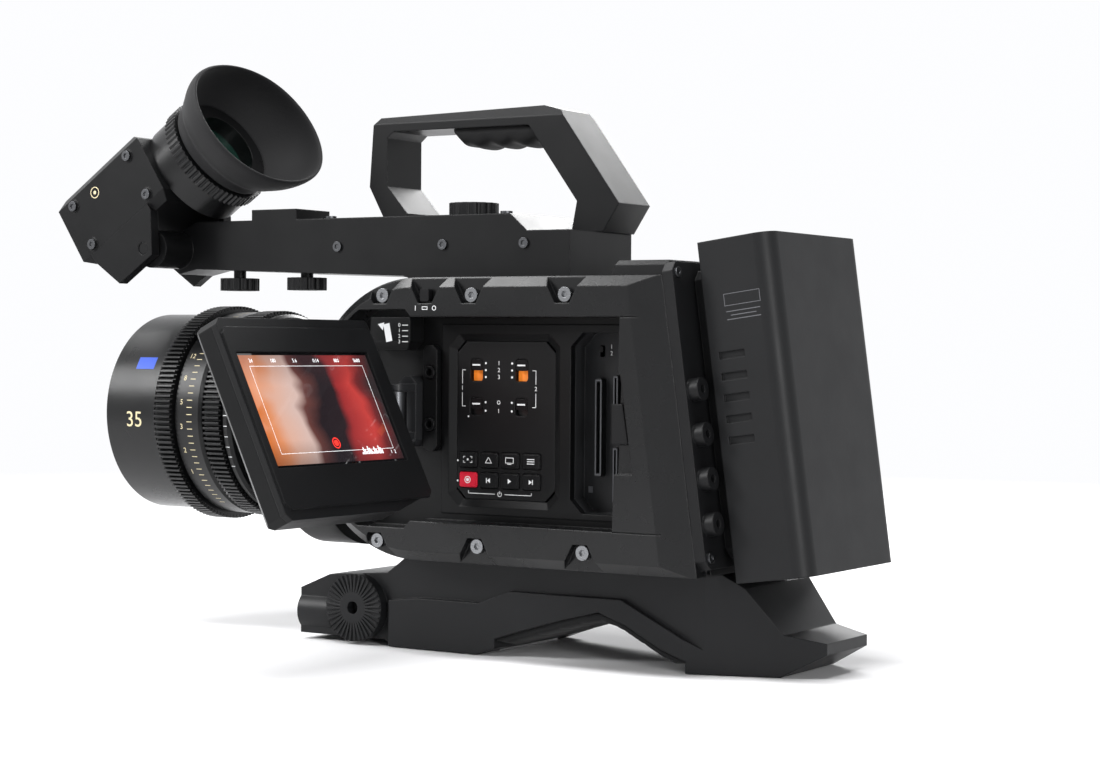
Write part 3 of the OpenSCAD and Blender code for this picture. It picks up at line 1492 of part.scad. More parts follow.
eyecup();
viewfinder_lens();
bar_knob(front_knob_x);  // bar_knob_front
bar_knob(rear_knob_x);  // bar_knob_rear
battery_plate();
battery_case();
battery_release();
base_shell();
shoulder_pad();
tripod_plate();
clamp_knob();
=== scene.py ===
"""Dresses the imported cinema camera: finishes, printed marks, the picture, soft parts, light and camera."""
from __future__ import annotations

import logging
import math
from dataclasses import dataclass
from enum import Enum
from typing import Sequence, Union

import bmesh
import bpy
from mathutils import Matrix, Vector

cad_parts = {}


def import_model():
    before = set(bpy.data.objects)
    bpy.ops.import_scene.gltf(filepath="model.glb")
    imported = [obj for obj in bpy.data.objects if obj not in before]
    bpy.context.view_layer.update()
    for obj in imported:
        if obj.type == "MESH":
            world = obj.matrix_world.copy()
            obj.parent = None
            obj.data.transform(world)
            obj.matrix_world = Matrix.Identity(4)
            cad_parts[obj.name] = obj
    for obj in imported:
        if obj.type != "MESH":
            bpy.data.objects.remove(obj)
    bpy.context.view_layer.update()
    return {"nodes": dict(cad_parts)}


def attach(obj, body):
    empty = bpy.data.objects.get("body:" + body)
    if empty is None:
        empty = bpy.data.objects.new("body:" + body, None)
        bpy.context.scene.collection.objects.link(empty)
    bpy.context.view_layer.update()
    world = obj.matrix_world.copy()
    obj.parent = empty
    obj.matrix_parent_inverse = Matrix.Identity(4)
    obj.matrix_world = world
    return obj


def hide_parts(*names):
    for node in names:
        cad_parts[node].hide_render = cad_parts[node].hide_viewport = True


LOG = logging.getLogger("cinema_camera")
MM = 0.001
BODY = "camera"

# Heights and faces of the CAD model, in millimetres
AXIS_Z = 105.4
SIDE_Y = -62.0
PANEL_Y = -46.0
BAY_Y = -36.0

Point = tuple[float, float]
Place = tuple[float, float, float]
Colour = tuple[float, float, float]


# Shader tools


class Value:
    """A shader socket that carries a number, with Python's operators."""

    def __init__(self, paint: "Paint", socket: bpy.types.NodeSocket) -> None:
        """Keeps the socket and the tree that it belongs to."""
        self.paint = paint
        self.socket = socket

    def __add__(self, other: "Number") -> "Value":
        """Returns the sum."""
        return self.paint.maths("ADD", self, other)

    def __sub__(self, other: "Number") -> "Value":
        """Returns the difference."""
        return self.paint.maths("SUBTRACT", self, other)

    def __rsub__(self, other: "Number") -> "Value":
        """Returns the difference from a plain number."""
        return self.paint.maths("SUBTRACT", other, self)

    def __mul__(self, other: "Number") -> "Value":
        """Returns the product."""
        return self.paint.maths("MULTIPLY", self, other)

    def __truediv__(self, other: "Number") -> "Value":
        """Returns the quotient."""
        return self.paint.maths("DIVIDE", self, other)

    def sine(self) -> "Value":
        """Returns the sine."""
        return self.paint.maths("SINE", self)

    def held(self) -> "Value":
        """Returns the number held between 0 and 1."""
        return self.paint.node("ShaderNodeClamp", {}, {"Value": self})

    __radd__ = __add__
    __rmul__ = __mul__


Number = Union[Value, float, int]


class Paint:
    """A node tree for one material."""

    def __init__(self, name: str) -> None:
        """Starts an empty material.

        Args:
            name: The material's name.
        """
        self.material = bpy.data.materials.new(name)
        self.material.use_nodes = True
        self.tree = self.material.node_tree
        self.tree.nodes.clear()

    def feed(self, socket: bpy.types.NodeSocket, value: object) -> None:
        """Links a socket or sets its number or colour.

        Args:
            socket: The socket that takes the value.
            value: A Value, a socket, a number, a colour or a vector.
        """
        if isinstance(value, Value):
            value = value.socket
        if isinstance(value, bpy.types.NodeSocket):
            self.tree.links.new(value, socket)
        elif socket.type == "RGBA" and len(value) == 3:
            socket.default_value = (*value, 1.0)
        else:
            socket.default_value = value

    def raw(self, kind: str, settings: dict[str, object], inputs: dict[object, object]) -> bpy.types.Node:
        """Adds a node.

        Args:
            kind: The node's type.
            settings: Its settings, which are set first; stops are a colour ramp's.
            inputs: The values or links of its sockets, by name or number.

        Returns:
            The node.
        """
        node = self.tree.nodes.new(kind)
        for key, value in settings.items():
            if key == "stops":
                self._stops(node, value)
            else:
                setattr(node, key, value)
        for key, value in inputs.items():
            self.feed(node.inputs[key], value)
        return node

    def node(self, kind: str, settings: dict[str, object], inputs: dict[object, object]) -> Value:
        """Adds a node and returns its first output."""
        return Value(self, self.raw(kind, settings, inputs).outputs[0])

    @staticmethod
    def _stops(node: bpy.types.Node, stops: Sequence[tuple[float, Colour]]) -> None:
        """Sets the stops of a colour ramp.

        Args:
            node: The ramp's node.
            stops: The place and the colour of each stop.
        """
        ramp = node.color_ramp
        while len(ramp.elements) < len(stops):
            ramp.elements.new(0.5)
        for element, (place, colour) in zip(ramp.elements, stops):
            element.position = place
            element.color = (*colour, 1.0)

    def maths(self, operation: str, *values: Number) -> Value:
        """Adds a Math node."""
        return self.node("ShaderNodeMath", {"operation": operation}, dict(enumerate(values)))

    def place(self) -> bpy.types.NodeSocket:
        """Returns the Object coordinates."""
        return self.raw("ShaderNodeTexCoord", {}, {}).outputs["Object"]

    def split(self, vector: bpy.types.NodeSocket) -> tuple[Value, Value, Value]:
        """Returns the three parts of a vector."""
        node = self.raw("ShaderNodeSeparateXYZ", {}, {0: vector})
        return tuple(Value(self, out) for out in node.outputs)

    def noise(self, scale: float, detail: float = 2.0, vector: object = None) -> Value:
        """Returns a noise between 0 and 1.

        Args:
            scale: Waves per metre.
            detail: How many finer waves are added.
            vector: The coordinates, or none for the object's.

        Returns:
            The noise.
        """
        inputs = {"Vector": vector or self.place(), "Scale": scale, "Detail": detail}
        return self.node("ShaderNodeTexNoise", {}, inputs)

    def blend(self, factor: Number, first: object, second: object) -> bpy.types.NodeSocket:
        """Mixes two colours."""
        node = self.raw("ShaderNodeMix", {"data_type": "RGBA"}, {0: factor, 6: first, 7: second})
        return node.outputs[2]

    def bump(self, height: Number, depth: float, edge: float = 0.0) -> bpy.types.NodeSocket:
        """Turns a height into a normal, over softly rounded edges where edge is given.

        Args:
            height: The height from 0 to 1.
            depth: The depth of the relief in metres.
            edge: Radius of the rounded edges in metres.

        Returns:
            The normal.
        """
        inputs = {"Height": height, "Distance": depth, "Strength": 1.0}
        if edge:
            inputs["Normal"] = self.raw("ShaderNodeBevel", {"samples": 4}, {"Radius": edge}).outputs[0]
        return self.raw("ShaderNodeBump", {}, inputs).outputs[0]

    def close(self, sockets: dict[str, object]) -> bpy.types.Material:
        """Ends the tree in a Principled shader.

        Args:
            sockets: The shader's values or links.

        Returns:
            The finished material.
        """
        shader = self.raw("ShaderNodeBsdfPrincipled", {}, sockets)
        self.raw("ShaderNodeOutputMaterial", {}, {"Surface": shader.outputs[0]})
        return self.material


# Finishes: scales are in waves per metre, depths and edges in metres


def shade(colour: Colour, times: float, plus: float = 0.0) -> Colour:
    """Returns a lighter or darker shade of a colour."""
    return tuple(min(1.0, part * times + plus) for part in colour)


@dataclass(frozen=True)
class CoatedMetal:
    """Satin paint or moulded composite with a fine grain."""

    name: str
    colour: Colour
    roughness: float = 0.38
    grain: float = 2600.0
    depth: float = 0.000009
    edge: float = 0.0008
    metallic: float = 0.0
    coat: float = 0.0
    specular: float = 0.17
    cloud_scale: float = 22.0
    gloss_scale: float = 60.0
    gloss_change: float = 0.14

    def make(self) -> bpy.types.Material:
        """Builds the finish.

        Returns:
            The material.
        """
        paint = Paint(self.name)
        cloud = paint.noise(self.cloud_scale, 3.0)
        tone = paint.blend(cloud * 0.6, self.colour, shade(self.colour, 1.6, 0.0015))
        gloss = paint.noise(self.gloss_scale, 4.0) * self.gloss_change
        relief = paint.noise(self.grain, 2.0) + paint.noise(self.grain * 0.35, 1.0) * 0.6
        return paint.close({
            "Base Color": tone, "Roughness": gloss + (self.roughness - self.gloss_change / 2),
            "Metallic": self.metallic, "Coat Weight": self.coat, "Coat Roughness": 0.12,
            "Specular IOR Level": self.specular, "Normal": paint.bump(relief, self.depth, self.edge)})


@dataclass(frozen=True)
class TurnedMetal:
    """Anodised metal with the fine rings that a lathe leaves round the lens axis."""

    name: str
    colour: Colour
    roughness: float = 0.3
    pitch: float = 0.00035
    metallic: float = 0.55
    depth: float = 0.000012
    edge: float = 0.0004
    wear_scale: float = 38.0

    def make(self) -> bpy.types.Material:
        """Builds the finish.

        Returns:
            The material.
        """
        paint = Paint(self.name)
        along = paint.split(paint.place())[0]
        rings = (along * (2 * math.pi / self.pitch)).sine() * 0.5 + 0.5
        worn = paint.noise(self.wear_scale, 4.0)
        tone = paint.blend(worn * 0.5, self.colour, shade(self.colour, 1.7, 0.0015))
        return paint.close({
            "Base Color": tone, "Roughness": worn * 0.12 + (self.roughness - 0.04),
            "Metallic": self.metallic, "Specular IOR Level": 0.35,
            "Normal": paint.bump(rings, self.depth, self.edge)})


@dataclass(frozen=True)
class SoftRubber:
    """Matt rubber with a fine leather-like grain."""

    name: str
    colour: Colour
    roughness: float = 0.72
    cell: float = 900.0
    depth: float = 0.00008
    grain: float = 3200.0
    bloom_scale: float = 26.0

    def make(self) -> bpy.types.Material:
        """Builds the finish.

        Returns:
            The material.
        """
        paint = Paint(self.name)
        cells = paint.node("ShaderNodeTexVoronoi", {}, {"Vector": paint.place(), "Scale": self.cell})
        fine = paint.noise(self.grain, 2.0)
        bloom = paint.noise(self.bloom_scale, 4.0)
        tone = paint.blend(bloom * 0.5, self.colour, shade(self.colour, 2.0, 0.002))
        return paint.close({
            "Base Color": tone, "Roughness": bloom * 0.16 + (self.roughness - 0.06),
            "Sheen Weight": 0.05, "Specular IOR Level": 0.2,
            "Normal": paint.bump(cells * 0.7 + fine * 0.4, self.depth)})


@dataclass(frozen=True)
class BareSteel:
    """Steel brushed along X, with faint stains."""

    name: str
    colour: Colour
    roughness: float = 0.28
    along: float = 60.0
    across: float = 2400.0
    stain_scale: float = 45.0
    depth: float = 0.00001
    edge: float = 0.0003

    def make(self) -> bpy.types.Material:
        """Builds the finish.

        Returns:
            The material.
        """
        paint = Paint(self.name)
        stretch = paint.raw("ShaderNodeMapping", {}, {
            "Vector": paint.place(), "Scale": (self.along, self.across, self.across)})
        brushed = paint.noise(1.0, 3.0, stretch.outputs[0])
        tone = paint.blend(paint.noise(self.stain_scale, 3.0) * 0.5, self.colour, shade(self.colour, 0.62))
        return paint.close({
            "Base Color": tone, "Roughness": brushed * 0.2 + (self.roughness - 0.08),
            "Metallic": 1.0, "Normal": paint.bump(brushed, self.depth, self.edge)})


@dataclass(frozen=True)
class CoatedGlass:
    """Optical glass whose base colour turns to a second colour where it faces away from the view: a painted
    reflection of its coloured coating.
    """

    name: str
    colour: Colour
    reflection_tint: Colour
    reflection_blend: float = 0.35
    smear_scale: float = 30.0

    def make(self) -> bpy.types.Material:
        """Builds the finish.

        Returns:
            The material.
        """
        paint = Paint(self.name)
        # Painted reflection: the facing ratio blends the base colour towards the second colour at grazing
        # angles.
        rim_reflection = Value(paint, paint.raw("ShaderNodeLayerWeight", {}, {"Blend": self.reflection_blend}).outputs["Facing"])
        smear = paint.noise(self.smear_scale, 3.0)
        tone = paint.blend(rim_reflection, self.colour, self.reflection_tint)
        return paint.close({
            "Base Color": tone, "Roughness": smear * 0.04 + 0.01, "Coat Weight": 1.0,
            "Coat Roughness": 0.02, "Specular IOR Level": 0.8, "Metallic": 0.25})


@dataclass(frozen=True)
class CircuitBoard:
    """Solder mask over copper tracks."""

    name: str
    colour: Colour = (0.012, 0.09, 0.045)
    track: Colour = (0.03, 0.2, 0.1)
    track_scale: float = 160.0
    depth: float = 0.00003

    def make(self) -> bpy.types.Material:
        """Builds the finish.

        Returns:
            The material.
        """
        paint = Paint(self.name)
        cells = paint.node("ShaderNodeTexBrick", {}, {
            "Vector": paint.place(), "Scale": self.track_scale, "Color1": (1, 1, 1),
            "Color2": (0.2, 0.2, 0.2), "Mortar": (0, 0, 0), "Mortar Size": 0.05})
        tone = paint.blend(cells, self.colour, self.track)
        return paint.close({
            "Base Color": tone, "Roughness": paint.noise(90.0) * 0.2 + 0.25,
            "Normal": paint.bump(paint.noise(700.0), self.depth)})


@dataclass(frozen=True)
class PrintedInk:
    """Screen-printed ink, slightly broken where the grain shows through. Its glow is emission: on the
    monitor's read-outs it is the screen's own light, and on printed marks, which are no lamp, it is a painted
    highlight.
    """

    name: str
    colour: Colour
    glow: float = 0.0
    wear_scale: float = 2600.0

    def make(self) -> bpy.types.Material:
        """Builds the finish.

        Returns:
            The material.
        """
        paint = Paint(self.name)
        wear = paint.noise(self.wear_scale, 3.0)
        tone = paint.blend(wear * 0.3, self.colour, shade(self.colour, 0.7))
        return paint.close({
            # Emission from glow: a painted highlight wherever this ink is a printed mark rather than part of
            # the screen.
            "Base Color": tone, "Roughness": wear * 0.2 + 0.4, "Emission Color": tone,
            "Emission Strength": self.glow})


@dataclass(frozen=True)
class MonitorPicture:
    """A generic picture on the monitor: soft warm shapes at both sides of a dark middle."""

    name: str = "monitor_picture"
    glow: float = 0.85
    drift_scale: float = 2.2
    bend: float = 0.34
    stops: tuple[tuple[float, Colour], ...] = (
        (0.0, (0.86, 0.23, 0.05)), (0.09, (0.95, 0.36, 0.16)), (0.17, (0.93, 0.55, 0.42)),
        (0.3, (0.86, 0.62, 0.55)), (0.36, (0.16, 0.05, 0.04)), (0.47, (0.015, 0.008, 0.01)),
        (0.6, (0.02, 0.01, 0.012)), (0.66, (0.42, 0.03, 0.03)), (0.82, (0.7, 0.06, 0.05)),
        (0.9, (0.2, 0.02, 0.02)), (1.0, (0.03, 0.02, 0.02)))

    def make(self) -> bpy.types.Material:
        """Builds the finish.

        Returns:
            The material.
        """
        paint = Paint(self.name)
        place = paint.raw("ShaderNodeTexCoord", {}, {}).outputs["UV"]
        drift = paint.noise(self.drift_scale, 2.0, place)
        u, v, _ = paint.split(place)
        along = u + (drift - 0.5) * self.bend * (v + 0.4)
        bands = paint.raw("ShaderNodeValToRGB", {"stops": self.stops}, {0: along}).outputs[0]
        upper = paint.blend((v - 0.72).held() * 1.6, bands, (0.07, 0.02, 0.02))
        lower = paint.blend(((0.22 - v) * 3.0).held() * 0.8, upper, (0.015, 0.01, 0.012))
        return paint.close({
            "Base Color": (0.01, 0.01, 0.012), "Roughness": drift * 0.04 + 0.05, "Coat Weight": 0.6,
            "Emission Color": lower, "Emission Strength": self.glow})


class Palette:
    """Every finish of the object, made once."""

    def __init__(self) -> None:
        """Makes the materials, in the order coatings, metals, rubbers, glasses, boards and inks."""
        black = (0.0036, 0.0037, 0.004)
        self.cover = CoatedMetal("cover_composite", (0.0026, 0.0027, 0.003), 0.27, coat=0.1,
                                 specular=0.25).make()
        self.frame = CoatedMetal("frame_paint", (0.0018, 0.0019, 0.0021), 0.34, specular=0.16).make()
        self.panel = CoatedMetal("panel_paint", (0.0028, 0.0029, 0.0032), 0.42, grain=3400.0,
                                 specular=0.16).make()
        self.alloy = CoatedMetal("cast_alloy_paint", black, 0.36, grain=1900.0, depth=0.000012,
                                 metallic=0.15).make()
        self.grey = CoatedMetal("dark_grey_paint", (0.014, 0.0144, 0.0155), 0.34, grain=1900.0,
                                depth=0.000012).make()
        self.plastic = CoatedMetal("moulded_plastic", (0.004, 0.0041, 0.0045), 0.42, grain=1500.0,
                                   depth=0.000016).make()
        self.battery = CoatedMetal("battery_plastic", (0.006, 0.0062, 0.0067), 0.46, grain=1300.0,
                                   depth=0.00002).make()
        self.base = CoatedMetal("base_composite", (0.007, 0.0072, 0.0078), 0.38, grain=1700.0,
                                depth=0.000016).make()
        self.key = CoatedMetal("key_plastic", (0.005, 0.0051, 0.0055), 0.32, grain=3000.0,
                               depth=0.00001, edge=0.0003).make()
        self.red = CoatedMetal("record_key", (0.46, 0.012, 0.03), 0.34, grain=3000.0,
                               depth=0.00001, edge=0.0003).make()
        self.knob = CoatedMetal("switch_knob", (0.004, 0.004, 0.0045), 0.3, grain=3000.0,
                                depth=0.00001, edge=0.0002).make()
        # Pale grey of the bay's contacts, also used for the painted highlights round the card slots.
        self.contact_and_highlight_grey = CoatedMetal("contact_grey_and_slot_highlight", (0.085, 0.088, 0.095), 0.34,
                                depth=0.00001, edge=0.0003).make()
        self.lens = TurnedMetal("lens_anodised", (0.0028, 0.0029, 0.0032), 0.27, metallic=0.2).make()
        self.ring = TurnedMetal("ring_anodised", (0.0042, 0.0043, 0.0047), pitch=0.0005, metallic=0.2).make()
        self.steel = BareSteel("black_steel", (0.085, 0.087, 0.092), 0.32).make()
        self.screw = BareSteel("screw_steel", (0.24, 0.245, 0.255), 0.25).make()
        self.bright = BareSteel("bright_steel", (0.5, 0.5, 0.5), 0.26).make()
        self.rubber = SoftRubber("grip_rubber", (0.003, 0.003, 0.0033)).make()
        self.cup = SoftRubber("eyecup_rubber", (0.0045, 0.0045, 0.005), 0.66, cell=1500.0,
                              depth=0.00003).make()
        # The second colour of each glass is a painted reflection that shows at grazing angles.
        self.glass = CoatedGlass("front_glass", (0.004, 0.006, 0.014), (0.10, 0.03, 0.13)).make()
        self.ocular = CoatedGlass("eyepiece_glass", (0.004, 0.008, 0.008), (0.02, 0.10, 0.07)).make()
        self.screen = CoatedGlass("screen_glass", (0.003, 0.003, 0.0035), (0.01, 0.01, 0.012)).make()
        self.board = CircuitBoard("circuit_board").make()
        self.mask = CircuitBoard("black_board", (0.002, 0.0022, 0.0024), (0.004, 0.0044, 0.005)).make()
        # These printed inks glow though they are no lamp: painted highlights that keep them bright even where
        # shade falls on them.
        self.white = PrintedInk("white_print", (0.72, 0.73, 0.74), glow=0.05).make()
        self.cream = PrintedInk("cream_print", (0.72, 0.62, 0.38), glow=0.05).make()
        self.orange = PrintedInk("orange_flag", (0.92, 0.24, 0.02), glow=0.25).make()
        self.blue = PrintedInk("blue_enamel", (0.02, 0.09, 0.62), glow=0.15).make()
        self.picture = MonitorPicture().make()
        self.readout = PrintedInk("screen_readout", (0.85, 0.86, 0.88), glow=0.7).make()
        self.alert = PrintedInk("screen_red", (0.85, 0.03, 0.02), glow=0.8).make()
        self.faint = PrintedInk("grey_print", (0.09, 0.092, 0.1)).make()


# Places and marks


@dataclass(frozen=True)
class Sheet:
    """A flat face given in millimetres: an origin, and its right and up directions."""

    origin: Place
    right: Place = (1.0, 0.0, 0.0)
    up: Place = (0.0, 0.0, 1.0)

    def point(self, u: float, v: float, lift: float) -> Vector:
        """Returns the point at u and v on the face, lifted off it, in metres."""
        right, up = Vector(self.right), Vector(self.up)
        return (Vector(self.origin) + right * u + up * v + right.cross(up) * lift) * MM


@dataclass(frozen=True)
class Barrel:
    """A round face about the lens axis: u runs along the axis and v round it, both in millimetres."""

    start: float
    angle: float
    radius: float
    height: float = AXIS_Z

    def point(self, u: float, v: float, lift: float) -> Vector:
        """Finds a point on the face.

        Args:
            u: How far it lies along the axis.
            v: How far it lies round the axis.
            lift: How far it stands off the face.

        Returns:
            The point, in metres.
        """
        turn = math.radians(self.angle) + v / self.radius
        reach = self.radius + lift
        return Vector((self.start + u, -reach * math.cos(turn), self.height + reach * math.sin(turn))) * MM


class Tilted:
    """A frame turned about Y, as the monitor, the viewfinder and the battery have in the source."""

    def __init__(self, pivot: Place, degrees: float, shift: Point = (0.0, 0.0)) -> None:
        """Keeps the frame.

        Args:
            pivot: Where the frame turns, in millimetres.
            degrees: How far its x axis points up.
            shift: The frame's origin in its own x and z.
        """
        turn = math.radians(degrees)
        self.pivot = Vector(pivot)
        self.x = Vector((math.cos(turn), 0.0, math.sin(turn)))
        self.z = Vector((-math.sin(turn), 0.0, math.cos(turn)))
        self.shift = shift

    def at(self, x: float, y: float, z: float) -> Vector:
        """Returns a point of this frame in the object's frame, in millimetres."""
        along, up = x + self.shift[0], z + self.shift[1]
        return self.pivot + self.x * along + self.z * up + Vector((0.0, y, 0.0))

    def sheet(self, x: float, y: float, z: float, right: Place = (1.0, 0.0, 0.0)) -> Sheet:
        """Lays a face through a point of this frame, upright in it.

        Args:
            x: The point's place in this frame, in millimetres, as y and z are.
            y: The same, across the object.
            z: The same, upwards.
            right: The face's direction to the right, in this frame.

        Returns:
            The face in the object's frame.
        """
        def turned(way: Place) -> Place:
            """Returns a direction of this frame in the object's frame."""
            return tuple(self.x * way[0] + self.z * way[2] + Vector((0.0, way[1], 0.0)))
        return Sheet(tuple(self.at(x, y, z)), turned(right), turned((0.0, 0.0, 1.0)))


# The turned frames of the CAD model
MONITOR = Tilted((-8.0, 0.0, 106.9), 25.7)
FINDER = Tilted((-158.0, -36.0, 185.75), 34.0, (-4.6, 31.7))
REAR = Tilted((142.0, 0.0, 43.0), 8.0)


def show(name: str, mesh: bpy.types.Mesh, material: bpy.types.Material) -> bpy.types.Object:
    """Puts a mesh into the scene.

    Args:
        name: The piece's name.
        mesh: Its mesh, in the object's frame.
        material: Its finish.

    Returns:
        The new object.
    """
    mesh.materials.clear()
    mesh.materials.append(material)
    piece = bpy.data.objects.new(name, mesh)
    bpy.context.scene.collection.objects.link(piece)
    return piece


def seat(piece: bpy.types.Object, body: str, slot: str, *nodes: str) -> bpy.types.Object:
    """Lets a piece ride on a body and hides the CAD nodes that it replaces.

    Args:
        piece: The piece.
        body: The body that it rides on.
        slot: Not used.
        nodes: The CAD nodes that it replaces.

    Returns:
        The piece.
    """
    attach(piece, body)
    if nodes:
        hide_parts(*nodes)
    LOG.info("%s rides on %s with %d faces", piece.name, body, len(piece.data.polygons))
    return piece


def loft(name: str, rings: Sequence[Sequence[Vector]], material: bpy.types.Material,
         closed: bool = True) -> bpy.types.Object:
    """Joins rings of points into a skin.

    Args:
        name: The piece's name.
        rings: The rings, each with the same number of points, in metres.
        material: The finish.
        closed: Whether the last ring joins the first; if not, both ends get a cap.

    Returns:
        The new object.
    """
    work = bmesh.new()
    rows = [[work.verts.new(p) for p in ring] for ring in rings]
    count = len(rows[0])
    for i in range(len(rows) if closed else len(rows) - 1):
        a, b = rows[i], rows[(i + 1) % len(rows)]
        for j in range(count):
            work.faces.new((a[j], a[(j + 1) % count], b[(j + 1) % count], b[j]))
    if not closed:
        work.faces.new(rows[0])
        work.faces.new(reversed(rows[-1]))
    bmesh.ops.recalc_face_normals(work, faces=work.faces)
    mesh = bpy.data.meshes.new(name)
    work.to_mesh(mesh)
    work.free()
    for polygon in mesh.polygons:
        polygon.use_smooth = True
    return show(name, mesh, material)


def evaluated(holder: bpy.types.Object) -> bpy.types.Mesh:
    """Returns an object's shape with its text or its modifiers worked out, as a plain mesh."""
    return bpy.data.meshes.new_from_object(holder.evaluated_get(bpy.context.evaluated_depsgraph_get()))


class Ink:
    """Thin marks on one face, gathered into one mesh. All sizes are in millimetres, and turns in degrees."""

    thick = 0.04
    arc_step = 12.0
    dot_sides = 20
    number_share = 0.7

    def __init__(self, face: Union[Sheet, Barrel], lift: float = 0.0) -> None:
        """Starts with no marks.

        Args:
            face: The face that carries the marks.
            lift: The height of their foot above the face, in millimetres.
        """
        self.face = face
        self.lift = lift
        self.work = bmesh.new()

    def shape(self, points: Sequence[Point]) -> "Ink":
        """Adds a filled outline.

        Args:
            points: Its corners, anticlockwise as it is read.

        Returns:
            This ink.
        """
        low = [self.work.verts.new(self.face.point(u, v, self.lift)) for u, v in points]
        high = [self.work.verts.new(self.face.point(u, v, self.lift + self.thick)) for u, v in points]
        self.work.faces.new(high)
        self.work.faces.new(reversed(low))
        for i, start in enumerate(low):
            j = (i + 1) % len(low)
            self.work.faces.new((start, low[j], high[j], high[i]))
        return self

    def bar(self, u: float, v: float, width: float, height: float, turn: float = 0.0) -> "Ink":
        """Adds a rectangle.

        Args:
            u: Its middle along the face.
            v: Its middle up the face.
            width: Its size along the face.
            height: Its size up the face.
            turn: How far it is turned about its middle.

        Returns:
            This ink.
        """
        c, s = math.cos(math.radians(turn)), math.sin(math.radians(turn))
        a, b = width / 2, height / 2
        return self.shape([(u + x * c - y * s, v + x * s + y * c)
                           for x, y in ((-a, -b), (a, -b), (a, b), (-a, b))])

    def dot(self, u: float, v: float, radius: float) -> "Ink":
        """Adds a disc.

        Args:
            u: Its middle along the face.
            v: Its middle up the face.
            radius: Its radius.

        Returns:
            This ink.
        """
        steps = (math.radians(360.0 * i / self.dot_sides) for i in range(self.dot_sides))
        return self.shape([(u + radius * math.cos(a), v + radius * math.sin(a)) for a in steps])

    def arc(self, u: float, v: float, radius: float, width: float,
            first: float = 0.0, last: float = 360.0) -> "Ink":
        """Adds a band along a circle or a part of it.

        Args:
            u: The circle's middle along the face.
            v: The circle's middle up the face.
            radius: The radius of the band's middle line.
            width: The band's width.
            first: Where it starts.
            last: Where it ends.

        Returns:
            This ink.
        """
        steps = max(3, int(abs(last - first) / self.arc_step))
        inner, outer = radius - width / 2, radius + width / 2
        for i in range(steps):
            a = math.radians(first + (last - first) * i / steps)
            b = math.radians(first + (last - first) * (i + 1) / steps)
            self.shape([(u + reach * math.cos(turn), v + reach * math.sin(turn))
                        for reach, turn in ((inner, a), (outer, a), (outer, b), (inner, b))])
        return self

    def outline(self, u: float, v: float, width: float, height: float, line: float) -> "Ink":
        """Adds the frame of a rectangle.

        Args:
            u: Its middle along the face.
            v: Its middle up the face.
            width: Its outer size along the face.
            height: Its outer size up the face.
            line: The width of its lines.

        Returns:
            This ink.
        """
        for side in (-1, 1):
            self.bar(u, v + side * (height - line) / 2, width, line)
            self.bar(u + side * (width - line) / 2, v, line, height - 2 * line)
        return self

    def digits(self, text: str, u: float, v: float, height: float) -> "Ink":
        """Adds plain numbers about a middle.

        Args:
            text: The numbers.
            u: The middle along the face.
            v: The middle up the face.
            height: The height of a number.

        Returns:
            This ink.
        """
        curve = bpy.data.curves.new("digits", "FONT")
        curve.body = text
        curve.size = height / self.number_share
        curve.align_x = "CENTER"
        curve.align_y = "CENTER"
        curve.resolution_u = 3
        holder = bpy.data.objects.new("digits", curve)
        bpy.context.scene.collection.objects.link(holder)
        bpy.context.view_layer.update()
        mesh = evaluated(holder)
        for polygon in mesh.polygons:
            self.shape([(u + mesh.vertices[i].co.x, v + mesh.vertices[i].co.y) for i in polygon.vertices])
        bpy.data.objects.remove(holder)
        bpy.data.curves.remove(curve)
        bpy.data.meshes.remove(mesh)
        return self

    def print(self, name: str, body: str, slot: str, material: bpy.types.Material) -> bpy.types.Object:
        """Makes one piece of the marks.

        Args:
            name: The piece's name.
            body: The body that it rides on.
            slot: The record's material slot.
            material: The ink.

        Returns:
            The new piece.
        """
        bmesh.ops.recalc_face_normals(self.work, faces=self.work.faces)
        mesh = bpy.data.meshes.new(name)
        self.work.to_mesh(mesh)
        self.work.free()
        return seat(show(name, mesh, material), body, slot)


# Geometry nodes


